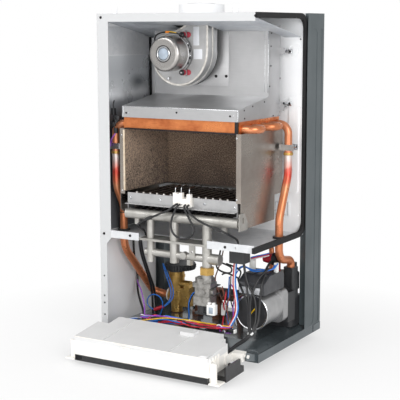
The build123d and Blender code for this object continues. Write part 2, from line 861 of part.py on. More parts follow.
# burner tray: front plate, back plate, rails under the bars and the slotted air lip
rail_top = rail_z + rail_r + seat
with BuildPart() as burner_frame:
    with BuildSketch(Plane.XZ.offset(-(hood_front + thin))):
        with Locations(((plate_left + plate_right) / 2, (plate_low + plate_high) / 2)):
            Rectangle(plate_right - plate_left, plate_high - plate_low)
    extrude(amount=-1.5)
    for z, y in ((bar_low - 1.5, bar_front + 4), (bar_low - 1.5, bar_back - 16)):
        with BuildSketch(Plane.XY.offset(z)):
            with Locations((0, y + 6)):
                Rectangle(2 * (box_half - thin) - 0.4, 12)
        extrude(amount=1.5)
    with BuildSketch(Plane.XY.offset(plate_low - 1.5)):
        with Locations(((plate_left + plate_right) / 2, hood_front + thin - 5)):
            Rectangle(plate_right - plate_left, 15)
            with GridLocations(bar_pitch, 1, bar_count, 1):
                SlotOverall(11, 4, mode=Mode.SUBTRACT)
    extrude(amount=1.5)
    # end cheeks tie the front plate to the rails
    for side, x in ((-1, plate_left + 0.75), (1, plate_right - 0.75)):
        with BuildSketch(Plane.YZ.offset(x - 0.75)):
            with BuildLine():
                Polyline(
                    (hood_front + thin, rail_top), (hood_front + thin, plate_high - 4),
                    (bar_front + 16, plate_high - 4), (bar_front + 16, bar_low - 1.5),
                    (bar_front, bar_low - 1.5), (bar_front, rail_top), close=True,
                )
            make_face()
        extrude(amount=1.5)
save(burner_frame.part, "burner_frame")

# gas rail with end plug and bracket
with BuildPart() as gas_rail:
    with BuildSketch(Plane.YZ.offset(rail_left)):
        with Locations((rail_y, rail_z)):
            Circle(rail_r)
    extrude(amount=rail_right - rail_left)
    with BuildSketch(Plane.YZ.offset(rail_right)):
        with Locations((rail_y, rail_z)):
            Circle(6)
    extrude(amount=3)
    with BuildSketch(Plane.YZ.offset(rail_right + 3)):
        with BuildLine():
            Polyline(
                (rail_y - 8, rail_z - 16), (rail_y - 8, rail_z + 22), (rail_y + 15, rail_z + 22),
                (rail_y + 28, rail_z + 2), (rail_y + 28, rail_z - 16), close=True,
            )
        make_face()
        with Locations((rail_y + 8, rail_z + 6)):
            SlotOverall(14, 5, rotation=90, mode=Mode.SUBTRACT)
    extrude(amount=2)
    for x in (rail_left + 28, rail_right - 36):
        with BuildSketch(Plane.XY.offset(rail_z - rail_r + 3)):
            with Locations((x, rail_y)):
                Rectangle(10, 7)
        extrude(amount=-15)
save(gas_rail.part, "gas_rail")

# one brass nozzle behind the rail for each bar
with BuildPart() as gas_nozzles:
    with BuildSketch(Plane.XZ.offset(-(bar_front - 0.3))):
        with Locations(*[(x, bar_low + 5) for x in bar_xs]):
            RegularPolygon(3.4, 6)
            Circle(0.6, mode=Mode.SUBTRACT)
    extrude(amount=bar_front - seat - rail_y)
    with BuildSketch(Plane.YZ.offset(rail_left)):
        with Locations((rail_y, rail_z)):
            Circle(rail_r)
    extrude(amount=rail_right - rail_left, mode=Mode.SUBTRACT)
save(gas_nozzles.part, "gas_nozzles")

# electrode block: two ceramic posts on a bridge, in front of the burner plate
block_depth = hood_front + thin - block_y
with BuildPart() as electrode_block:
    with BuildSketch(Plane.XZ.offset(-block_y)):
        with BuildLine():
            Polyline(
                (-11, 322), (-11, 352), (-2, 352), (-2, 350), (4, 350), (4, 353), (13, 353), (13, 340),
                (24, 340), (24, 351), (34, 351), (34, 322), close=True,
            )
        make_face()
    extrude(amount=-block_depth)
    fillet(electrode_block.edges().filter_by(Axis.Y), 0.8)
save(electrode_block.part, "electrode_block")

pin_xs = (-6.5, 8.5, 29.0)
pin_r = 1.2
with BuildPart() as electrode_pins:
    for x in pin_xs:
        top = 353 if x == 8.5 else (352 if x < 0 else 351)
        add(tube_along(
            [(x, block_y + 4, top), (x, block_y + 4, top + 12), (x, block_y + 26, top + 14)], pin_r, [5]
        ))
save(electrode_pins.part, "electrode_pins")

# ---------------------------------------------------------------------------
# Gas manifold, union, valve
# ---------------------------------------------------------------------------

distributor_r = 8.5
flange_left = notch_left - 5
flange_right = sheet_notch + 5
flange_front = front + 1.0
flange_back = front + notch_depth + 4
with BuildPart() as gas_manifold:
    for x, r, foot in zip(riser_x, riser_r, riser_foot):
        with BuildSketch(Plane.XY.offset(foot)):
            with Locations((x, riser_y)):
                Circle(r)
        extrude(amount=rail_z - 6 - foot)
    with BuildSketch(Plane.XY.offset(flange_low)):
        with Locations(((flange_left + flange_right) / 2, (flange_front + flange_back) / 2)):
            RectangleRounded(flange_right - flange_left, flange_back - flange_front, 6)
        with Locations(*lead_holes[:1]):
            Circle(lead_hole_r, mode=Mode.SUBTRACT)
    extrude(amount=flange_high - flange_low)
    # clear of the floor's bars beside the notch
    for x in (flange_left, flange_right):
        with BuildSketch(Plane.XY.offset(flange_low - 1)):
            with Locations((x, front)):
                Rectangle(2 * (flange_right - notch_right) + 1, 4)
        extrude(amount=flange_high - flange_low + 2, mode=Mode.SUBTRACT)
    with BuildSketch(Plane.YZ.offset(riser_x[0] - 14)):
        with Locations((riser_y + 2, distributor_z)):
            Circle(distributor_r)
    extrude(amount=riser_x[2] - riser_x[0] + 14)
    with BuildSketch(Plane.YZ.offset(riser_x[2])):
        with Locations((riser_y + 2, distributor_z)):
            Circle(12)
    extrude(amount=32)
    # plug boss, tab with a hole and hex plug between the second and third risers
    with BuildSketch(Plane.XZ.offset(-(riser_y - 10))):
        with Locations((15, distributor_z + 3)):
            Circle(8)
    extrude(amount=-12)
    with BuildSketch(Plane.XZ.offset(-(riser_y - 8))):
        with Locations((37, distributor_z + 14)):
            RectangleRounded(15, 30, 3)
            Circle(2.5, mode=Mode.SUBTRACT)
    extrude(amount=-3)
    with BuildSketch(Plane.XY.offset(distributor_z - 18)):
        with Locations((27, riser_y + 1)):
            RegularPolygon(8, 6)
    extrude(amount=12)
    with BuildSketch(Plane.YZ.offset(rail_left)):
        with Locations((rail_y, rail_z)):
            Circle(rail_r)
    extrude(amount=rail_right - rail_left, mode=Mode.SUBTRACT)
save(gas_manifold.part, "gas_manifold")

nut_low = riser_foot[2] - nut_height
with BuildPart() as gas_union_nut:
    with BuildSketch(Plane.XY.offset(nut_low)):
        with Locations((riser_x[2], riser_y)):
            RegularPolygon(nut_flats / 2, 6, major_radius=False)
    extrude(amount=nut_height)
    chamfer(gas_union_nut.edges().group_by(Axis.Z)[-1], 1.5)
save(gas_union_nut.part, "gas_union_nut")

coil_x = 60.0
coil_y = valve_y - 8
coil_low = 92.0
coil_high = coil_low + coil_height
with BuildPart() as gas_valve_body:
    # neck under the union, eight-sided head, cover flange, waist and lower flange
    with BuildSketch(Plane.XY.offset(168)):
        with Locations((riser_x[2], riser_y)):
            Circle(13)
    extrude(amount=nut_low - 168)
    with BuildSketch(Plane.XY.offset(158)):
        with Locations((valve_x + 1, valve_y)):
            RegularPolygon(22, 8, rotation=22.5)
    extrude(amount=10)
    with BuildSketch(Plane.XY.offset(148)):
        with Locations((valve_x, valve_y)):
            RectangleRounded(46, 36, 6)
    extrude(amount=10)
    with BuildSketch(Plane.XY.offset(128)):
        with Locations((valve_x, valve_y)):
            RectangleRounded(38, 31, 6)
    extrude(amount=20)
    with BuildSketch(Plane.XY.offset(coil_high)):
        with Locations((valve_x, valve_y)):
            RectangleRounded(43, 36, 6)
    extrude(amount=128 - coil_high)
    # regulator boss in front, and the side port
    with BuildSketch(Plane.XZ.offset(-(valve_y - 15))):
        with Locations((valve_x + 3, 138)):
            Circle(7)
    extrude(amount=3)
    with BuildSketch(Plane.YZ.offset(valve_x + 18)):
        with Locations((valve_y, 138)):
            Circle(8)
    extrude(amount=7)
    # inlet boss behind
    with BuildSketch(Plane.XZ.offset(-(valve_y + 17))):
        with Locations((valve_x, 126)):
            Circle(12)
    extrude(amount=-8)
    # guide hole of the plunger
    with BuildSketch(Plane.XY.offset(coil_high)):
        with Locations((coil_x, coil_y)):
            Circle(plunger_r + running)
    extrude(amount=plunger_travel + 4, mode=Mode.SUBTRACT)
save(gas_valve_body.part, "gas_valve_body")

# modulating coil with its yoke and connector
with BuildPart() as gas_valve_coil:
    with BuildSketch(Plane.XY.offset(coil_low)):
        with Locations((coil_x, coil_y)):
            Circle(coil_r)
        with Locations((coil_x + 17, coil_y)):
            RectangleRounded(16, 12, 2)
        with Locations((coil_x + 9, coil_y)):
            Rectangle(10, 8)
        with Locations((coil_x, coil_y)):
            Circle(plunger_r + running, mode=Mode.SUBTRACT)
    extrude(amount=coil_height)
    with BuildSketch(Plane.XY.offset(coil_low - 4)):
        with Locations((valve_x + 2, coil_y + 4)):
            RectangleRounded(38, 28, 4)
    extrude(amount=4)
save(gas_valve_coil.part, "gas_valve_coil")

with BuildPart() as modulator_plunger:
    with BuildSketch(Plane.XY.offset(coil_low + seat)):
        with Locations((coil_x, coil_y)):
            Circle(plunger_r)
    extrude(amount=coil_height)
save(modulator_plunger.part, "modulator_plunger")

# ignition transformer under the chamber floor
transformer_low = 205.0
transformer_high = 236.0
with BuildPart() as ignition_transformer:
    with BuildSketch(Plane.XY.offset(transformer_low)):
        with Locations((136, front + 42)):
            RectangleRounded(36, 32, 2)
    extrude(amount=transformer_high - transformer_low)
    with BuildSketch(Plane.XY.offset(transformer_high)):
        with Locations((136, front + 44)):
            Rectangle(30, 14)
    extrude(amount=floor_low - transformer_high)
save(ignition_transformer.part, "ignition_transformer")

# ---------------------------------------------------------------------------
# Pump, hydraulic block, vent
# ---------------------------------------------------------------------------

motor_end = pump_front + 4 + pump_length
rotor_bore = 55.0
with BuildPart() as pump_motor:
    with BuildSketch(Plane.XZ.offset(-pump_front)):
        with Locations((pump_x, pump_z)):
            Circle(pump_face_r)
    extrude(amount=-4)
    with BuildSketch(Plane.XZ.offset(-(pump_front + 4))):
        with Locations((pump_x, pump_z)):
            Circle(pump_r)
    extrude(amount=-(pump_length - 20))
    with BuildSketch(Plane.XZ.offset(-(motor_end - 24))):
        with Locations((pump_x, pump_z)):
            RectangleRounded(2 * pump_r, 2 * pump_r, 14)
    extrude(amount=-24)
    with BuildSketch(Plane.XZ.offset(-motor_end)):
        with Locations((pump_x, pump_z)):
            Circle(rotor_shaft_r + running)
    extrude(amount=rotor_bore, mode=Mode.SUBTRACT)
save(pump_motor.part, "pump_motor")

with BuildPart() as pump_face:
    with BuildSketch(Plane.XZ.offset(-(pump_front - 1.5))):
        with Locations((pump_x, pump_z)):
            Circle(pump_face_r - 4)
    extrude(amount=-1.5)
    with BuildSketch(Plane.XZ.offset(-(pump_front - 4))):
        with Locations((pump_x, pump_z)):
            Circle(8)
    extrude(amount=-2.5)
save(pump_face.part, "pump_face")

terminal_low = pump_z + pump_face_r + 0.6
terminal_front = pump_front - 1.0
terminal_back = pump_front + 95.0
with BuildPart() as pump_terminal_box:
    with BuildSketch(Plane.YZ.offset(123)):
        with BuildLine():
            Polyline(
                (terminal_front, terminal_low), (terminal_front, 158), (terminal_front + 24, 172),
                (terminal_back - 12, 172), (terminal_back, 164), (terminal_back, terminal_low), close=True,
            )
        make_face()
    extrude(amount=66)
    fillet(pump_terminal_box.edges().filter_by(Axis.Z), 3)
    # neck on the motor's top
    with BuildSketch(Plane.XY.offset(terminal_low)):
        with Locations((pump_x, pump_front + 50)):
            Rectangle(28, 52)
    extrude(amount=pump_z + pump_r - 1 - terminal_low)
    with BuildSketch(Plane.XZ.offset(-(pump_front - 2))):
        with Locations((pump_x, pump_z)):
            Circle(pump_r)
    extrude(amount=-pump_length, mode=Mode.SUBTRACT)
save(pump_terminal_box.part, "pump_terminal_box")

volute_front = motor_end
block_back = volute_front + volute_length + 58
block_left = 93.0
cold_port_x = pump_x - 8 - volute_r - seat
riser_block_x = flow_x
riser_block_y = volute_front + volute_length + 12
riser_block_top = 168.0
with BuildPart() as hydraulic_block:
    with BuildSketch(Plane.XZ.offset(-volute_front)):
        with Locations((pump_x - 8, pump_z - 6)):
            Circle(volute_r)
        with Locations((pump_x, pump_z - 8)):
            Rectangle(2 * pump_r, 2 * pump_r - 8)
    extrude(amount=-volute_length)
    with BuildSketch(Plane.XY.offset(tray_plateau)):
        with Locations((block_left + 46, volute_front + volute_length + 29)):
            RectangleRounded(92, 58, 8)
    extrude(amount=block_top - tray_plateau)
    # tower that takes the heating flow
    with BuildSketch(Plane.XY.offset(block_top)):
        with Locations((riser_block_x, riser_block_y)):
            RectangleRounded(28, 26, 6)
    extrude(amount=riser_block_top - block_top)
    # pump chamber and shaft passage
    with BuildSketch(Plane.XZ.offset(-volute_front)):
        with Locations((pump_x, pump_z)):
            Circle(rotor_shaft_r + 2)
    extrude(amount=-6, mode=Mode.SUBTRACT)
    with BuildSketch(Plane.XZ.offset(-(volute_front + 5))):
        with Locations((pump_x, pump_z)):
            Circle(rotor_wheel_r + 2)
    extrude(amount=-22, mode=Mode.SUBTRACT)
save(hydraulic_block.part, "hydraulic_block")

with BuildPart() as pump_rotor:
    with BuildSketch(Plane.XZ.offset(-(motor_end - rotor_bore + 3))):
        with Locations((pump_x, pump_z)):
            Circle(rotor_shaft_r)
    extrude(amount=-(rotor_bore - 3 + 12))
    with BuildSketch(Plane.XZ.offset(-(volute_front + 7))):
        with Locations((pump_x, pump_z)):
            Circle(rotor_wheel_r)
    extrude(amount=-2)
    with BuildSketch(Plane.XZ.offset(-(volute_front + 7))):
        with Locations((pump_x, pump_z)):
            with PolarLocations(rotor_wheel_r - 10, 7):
                Rectangle(18, 2, rotation=40)
    extrude(amount=-14)
save(pump_rotor.part, "pump_rotor")

vent_low = block_top
vent_body_low = vent_low + 16
vent_high = 152.0
cap_r = 6.0
cap_height = 21.0
thread_r = 3.0
with BuildPart() as air_vent:
    with BuildSketch(Plane.XY.offset(vent_low)):
        with Locations((vent_x, vent_y)):
            Circle(9)
    extrude(amount=16)
    with BuildSketch(Plane.XY.offset(vent_body_low)):
        with Locations((vent_x, vent_y)):
            Circle(vent_r)
    extrude(amount=vent_high - vent_body_low)
    fillet(air_vent.edges().group_by(Axis.Z)[-1], 4)
    with BuildSketch(Plane.XY.offset(vent_high)):
        with Locations((vent_x, vent_y)):
            Circle(thread_r)
    extrude(amount=8)
save(air_vent.part, "air_vent")

with BuildPart() as vent_cap:
    with BuildSketch(Plane.XY.offset(vent_high + seat)):
        with Locations((vent_x, vent_y)):
            Circle(cap_r)
            with PolarLocations(cap_r, 12):
                Circle(0.6, mode=Mode.SUBTRACT)
    extrude(amount=cap_height)
    with BuildSketch(Plane.XY.offset(vent_high + seat)):
        with Locations((vent_x, vent_y)):
            Circle(thread_r + running)
    extrude(amount=9, mode=Mode.SUBTRACT)
save(vent_cap.part, "vent_cap")

# plate heat exchanger behind the block
plates = 12
plate_pitch = 2.6
exchanger_wide = 72.0
exchanger_tall = 104.0
exchanger_x = 108.0
exchanger_z = 88.0
exchanger_front = block_back + 4
with BuildPart() as plate_exchanger:
    with BuildSketch(Plane.XZ.offset(-exchanger_front)):
        with Locations((exchanger_x, exchanger_z)):
            RectangleRounded(exchanger_wide - 2, exchanger_tall - 2, 8)
    extrude(amount=-plates * plate_pitch)
    # the plates' folded edges
    for i in range(1, plates):
        with BuildSketch(Plane.XZ.offset(-(exchanger_front + i * plate_pitch))):
            with Locations((exchanger_x, exchanger_z)):
                RectangleRounded(exchanger_wide, exchanger_tall, 9)
                RectangleRounded(exchanger_wide - 5, exchanger_tall - 5, 7, mode=Mode.SUBTRACT)
        extrude(amount=-0.7)
    # ports towards the block
    with BuildSketch(Plane.XZ.offset(-exchanger_front)):
        with Locations((exchanger_x - 20, 60), (exchanger_x + 20, 60)):
            Circle(8)
    extrude(amount=exchanger_front - block_back)
save(plate_exchanger.part, "plate_exchanger")

# safety valve on a stub from the block, its knob towards the right
valve_stub_x = 145.0
valve_stub_y = volute_front + volute_length + 13
safety_y = front + 165.0
safety_z = 192.0
safety_left = 133.0
safety_right = 156.0
safety_stem = 4.0
with BuildPart() as safety_valve:
    with BuildSketch(Plane.XY.offset(block_top)):
        with Locations((valve_stub_x, valve_stub_y)):
            Circle(6)
    extrude(amount=safety_z - block_top)
    with BuildSketch(Plane.XZ.offset(-(valve_stub_y + 6))):
        with Locations((valve_stub_x, safety_z)):
            Circle(6)
    extrude(amount=valve_stub_y + 6 - safety_y)
    with BuildSketch(Plane.YZ.offset(safety_left)):
        with Locations((safety_y, safety_z)):
            Circle(9)
    with BuildSketch(Plane.YZ.offset(safety_right)):
        with Locations((safety_y, safety_z)):
            Circle(13)
    loft()
    with BuildSketch(Plane.YZ.offset(safety_right)):
        with Locations((safety_y, safety_z)):
            Circle(safety_stem)
    extrude(amount=9)
save(safety_valve.part, "safety_valve")

with BuildPart() as safety_knob:
    with BuildSketch(Plane.YZ.offset(safety_right + seat)):
        with Locations((safety_y, safety_z)):
            Circle(14.5)
            with PolarLocations(14.5, 8):
                Circle(1.5, mode=Mode.SUBTRACT)
    extrude(amount=11.5)
    with BuildSketch(Plane.YZ.offset(safety_right)):
        with Locations((safety_y, safety_z)):
            Circle(safety_stem + running)
    extrude(amount=10, mode=Mode.SUBTRACT)
save(safety_knob.part, "safety_knob")

# ---------------------------------------------------------------------------
# Diverter valve
# ---------------------------------------------------------------------------

actuator_foot = 7.0
actuator_low = diverter_top + actuator_foot
with BuildPart() as diverter_body:
    with BuildSketch(Plane.XY.offset(54)):
        with Locations((diverter_x, diverter_y)):
            Circle(diverter_r)
    extrude(amount=diverter_top - 54)
    with BuildSketch(Plane.XY.offset(tray_plateau + 2)):
        with Locations((diverter_x, diverter_y)):
            Circle(14)
    extrude(amount=54 - tray_plateau - 2)
    # grooved collars
    for z in (diverter_top - 14, 60):
        with BuildSketch(Plane.XY.offset(z)):
            with Locations((diverter_x, diverter_y)):
                Circle(diverter_r + 1.5)
        extrude(amount=5)
    # branch to the right with its forward port
    with BuildSketch(Plane.YZ.offset(diverter_x)):
        with Locations((diverter_y - 4, 100)):
            Circle(9)
    extrude(amount=42)
    with BuildSketch(Plane.XZ.offset(-(diverter_y - 18))):
        with Locations((diverter_x + 38, 94)):
            Circle(8)
    extrude(amount=-20)
    with BuildSketch(Plane.XZ.offset(-(diverter_y - 12))):
        with Locations((diverter_x + 28, 68)):
            Rectangle(26, 45)
    extrude(amount=-22)
    # union towards the return pipe
    with BuildSketch(Plane.YZ.offset(diverter_x)):
        with Locations((diverter_y, 68)):
            Circle(13)
    extrude(amount=-24)
    with BuildSketch(Plane.XY.offset(50)):
        with Locations((diverter_x, diverter_y)):
            Circle(spindle_r + running)
    extrude(amount=diverter_top - 50, mode=Mode.SUBTRACT)
save(diverter_body.part, "diverter_body")

with BuildPart() as diverter_actuator:
    with BuildSketch(Plane.XY.offset(diverter_top)):
        with Locations((diverter_x, diverter_y)):
            Circle(diverter_r)
    extrude(amount=actuator_foot)
    with BuildSketch(Plane.XY.offset(actuator_low)):
        with Locations((diverter_x + 10, diverter_y)):
            Circle(actuator_r)
            with PolarLocations(actuator_r, 36):
                Circle(1.6, mode=Mode.SUBTRACT)
    extrude(amount=actuator_height)
    with BuildSketch(Plane.XY.offset(diverter_top)):
        with Locations((diverter_x, diverter_y)):
            Circle(spindle_r + 2)
    extrude(amount=spindle_rise + spindle_travel + 4, mode=Mode.SUBTRACT)
save(diverter_actuator.part, "diverter_actuator")

with BuildPart() as diverter_spindle:
    with BuildSketch(Plane.XY.offset(50 + seat)):
        with Locations((diverter_x, diverter_y)):
            Circle(spindle_r)
    extrude(amount=diverter_top + spindle_rise - 50)
save(diverter_spindle.part, "diverter_spindle")

# ---------------------------------------------------------------------------
# Connection tails: threaded ends through the tray, and the pipes above them
# ---------------------------------------------------------------------------

small_pipe_r = 7.5
nut_high = tray_plateau + 10.0
gas_route = [
    (valve_x, valve_y + 25, 126), (valve_x, valve_y + 66, 126), (valve_x - 20, valve_y + 110, 106),
    (tail_x[2], tail_y, 88), (tail_x[2], tail_y, nut_high),
]
hot_route = [
    (tail_x[1], tail_y, nut_high), (tail_x[1], tail_y, 70), (tail_x[1] + 38, volute_front + 62, 70),
    (block_left, volute_front + 62, 70),
]
cold_route = [
    (tail_x[3], tail_y, nut_high), (tail_x[3], tail_y, 86), (cold_port_x, tail_y, 86),
]
with BuildPart() as connection_pipes:
    for x, r in zip(tail_x, tail_r):
        # thread up to a shoulder under the tray, then a neck through it
        with BuildSketch(Plane.XY.offset(-tail_drop)):
            with Locations((x, tail_y)):
                Circle(r)
                Circle(tail_bore, mode=Mode.SUBTRACT)
        extrude(amount=tail_shoulder + tail_drop)
        with BuildSketch(Plane.XY.offset(tail_shoulder)):
            with Locations((x, tail_y)):
                Circle(r - tail_neck)
                Circle(tail_bore, mode=Mode.SUBTRACT)
        extrude(amount=tray_plateau - tail_shoulder)
        # nut that clamps the tail on the tray
        if x != tail_x[0] and x != tail_x[4]:
            with BuildSketch(Plane.XY.offset(tray_plateau)):
                with Locations((x, tail_y)):
                    RegularPolygon(r + 5, 6)
                    Circle(tail_bore, mode=Mode.SUBTRACT)
            extrude(amount=nut_high - tray_plateau)
    # thin collars under the diverter and the block
    with BuildSketch(Plane.XY.offset(tray_plateau)):
        with Locations((tail_x[0], tail_y)):
            Circle(tail_r[0] + 3)
            Circle(tail_bore, mode=Mode.SUBTRACT)
    extrude(amount=2)
    # gas pipe from behind the valve, hot and cold water pipes to the block
    add(tube_along(gas_route, small_pipe_r, [24, 30, 26]))
    add(tube_along(cold_route, small_pipe_r, [11]))
    add(tube_along(hot_route, small_pipe_r, [14, 16]))
save(connection_pipes.part, "connection_pipes")

# ---------------------------------------------------------------------------
# Copper pipes of the heating circuit, their clips and grommets
# ---------------------------------------------------------------------------

elbow_start = core_half + 6
elbow_r = flow_x - elbow_start
flow_top = [
    (elbow_start, tube_ys[4], tube_z), (flow_x, tube_ys[4], tube_z), (flow_x, tube_ys[4], tube_z - 60),
]
flow_points = [
    (flow_x, tube_ys[4], tube_z - 60), (flow_x, tube_ys[4], 382), (flow_x, flow_hole_y, 288),
    (flow_x, flow_hole_y, 196), (riser_block_x, riser_block_y, riser_block_top + 16),
    (riser_block_x, riser_block_y, riser_block_top),
]
return_top = [
    (-elbow_start, tube_ys[0], tube_z), (return_x, tube_ys[0], tube_z), (return_x, tube_ys[0], tube_z - 60),
]
union_x = diverter_x - 24
return_points = [
    (return_x, tube_ys[0], tube_z - 60), (return_x, tube_ys[0], 352), (return_x, return_hole_y, 304),
    (return_x, return_hole_y, 206), (return_x, diverter_y - 12, 76), (union_x - 12, diverter_y, 68),
    (union_x, diverter_y, 68),
]
vessel_port = (60.0, chamber_back_y + vessel_depth / 2)
vessel_route = [
    (*vessel_port, vessel_low - 22), (*vessel_port, 240), (131, volute_front + volute_length + 8, 214),
    (131, volute_front + volute_length + 8, block_top),
]
with BuildPart() as flow_pipe:
    add(tube_along(flow_top, tube_r, [elbow_r - 3]))
    add(tube_along(flow_points, pipe_r, [60, 60, 30, 14]))
    # thinner pipe from the expansion vessel to the block
    add(tube_along(vessel_route, 6, [18, 24]))
save(flow_pipe.part, "flow_pipe")

with BuildPart() as return_pipe:
    add(tube_along(return_top, tube_r, [elbow_r - 3]))
    add(tube_along(return_points, pipe_r, [60, 50, 60, 18, 5]))
save(return_pipe.part, "return_pipe")

# clips round the joints
clip_z = 436.0
clip_places = ((flow_x, tube_ys[4], tube_r), (return_x, tube_ys[0], tube_r))
with BuildPart() as pipe_clips:
    for x, y, r in clip_places:
        for lift, grow, tall in ((2, 2.5, 4), (8, 1.2, 3), (11, 2.5, 4)):
            with BuildSketch(Plane.XY.offset(clip_z + lift)):
                with Locations((x, y)):
                    Circle(r + grow)
                    Circle(r, mode=Mode.SUBTRACT)
            extrude(amount=tall)
        # the clip's spring arms, folded round the pipe's joint
        with BuildSketch(Plane.XY.offset(clip_z + 2)):
            with Locations((x, y - r - 1.7), (x, y + r + 1.7)):
                Rectangle(36, 1.6)
        extrude(amount=13)
save(pipe_clips.part, "pipe_clips")

with BuildPart() as pipe_grommets:
    for x, y in ((flow_x, flow_hole_y), (return_x, return_hole_y)):
        for z, r, tall in ((chamber_floor_z, grommet_outer, 4), (floor_low, grommet_outer - 3, sheet)):
            with BuildSketch(Plane.XY.offset(z)):
                with Locations((x, y)):
                    Circle(r)
                    Circle(pipe_r, mode=Mode.SUBTRACT)
            extrude(amount=tall)
save(pipe_grommets.part, "pipe_grommets")

# ---------------------------------------------------------------------------
# Expansion vessel in the rear frame
# ---------------------------------------------------------------------------

vessel_front = chamber_back_y
with BuildPart() as expansion_vessel:
    with BuildSketch(Plane.XZ.offset(-vessel_front)):
        with Locations((0, (vessel_low + vessel_high) / 2)):
            RectangleRounded(2 * vessel_half, vessel_high - vessel_low, 60)
    extrude(amount=-vessel_depth)
    fillet(expansion_vessel.edges().group_by(Axis.Y)[0] + expansion_vessel.edges().group_by(Axis.Y)[-1], 18)
    with BuildSketch(Plane.XZ.offset(-(vessel_front + vessel_depth / 2 + 1))):
        with Locations((0, (vessel_low + vessel_high) / 2)):
            RectangleRounded(2 * vessel_half + 8, vessel_high - vessel_low + 8, 64)
    extrude(amount=2)
    with BuildSketch(Plane.XY.offset(vessel_low - 22)):
        with Locations(vessel_port):
            Circle(7)
    extrude(amount=30)
save(expansion_vessel.part, "expansion_vessel")

# ---------------------------------------------------------------------------
# Ignition leads, made whole along their routes in front of the rail
# ---------------------------------------------------------------------------

lead_end = transformer_high
lead_routes = {
    "left lead": [
        (1, block_y, 328), (1, lead_plane, 328), (-14, lead_plane - 1, 314), (-46, lead_plane - 2, 301),
        (-88, lead_plane - 1, 283), (-105, front + 1, 271), (-96, front + 16, 260),
        (*lead_holes[0], 251), (*lead_holes[0], lead_end),
    ],
    "looped lead": [
        (7, block_y, 327), (7, lead_plane, 327), (-4, lead_plane - 1, 304), (-9, lead_plane - 3, 284),
        (-4, lead_plane - 3, 263), (18, lead_plane - 2, 252), (44, lead_plane - 3, 259),
        (54, lead_plane - 2, 278), (40, lead_plane - 3, 298), (21, lead_plane, 327), (21, block_y, 327),
    ],
    "right lead": [
        (30, block_y, 327), (30, lead_plane, 327), (38, lead_plane - 1, 312), (60, lead_plane, 297),
        (92, lead_plane - 1, 287), (118, lead_plane + 1, 280), (132, front + 12, 267),
        (*lead_holes[1], 255), (*lead_holes[1], lead_end),
    ],
}
boot_r = 4.0
with BuildPart() as ignition_leads:
    for label, route in lead_routes.items():
        add(cord(route, lead_r, label))
    # boots on two of the leads
    add(rod((-58, lead_plane - 1.7, 296), (-80, lead_plane - 1.2, 286.5), boot_r))
    add(rod((96, lead_plane - 0.7, 286), (114, lead_plane + 0.7, 281), boot_r))
save(ignition_leads.part, "ignition_leads")

# ---------------------------------------------------------------------------
# Wiring of the lower compartment, along its routes
# ---------------------------------------------------------------------------

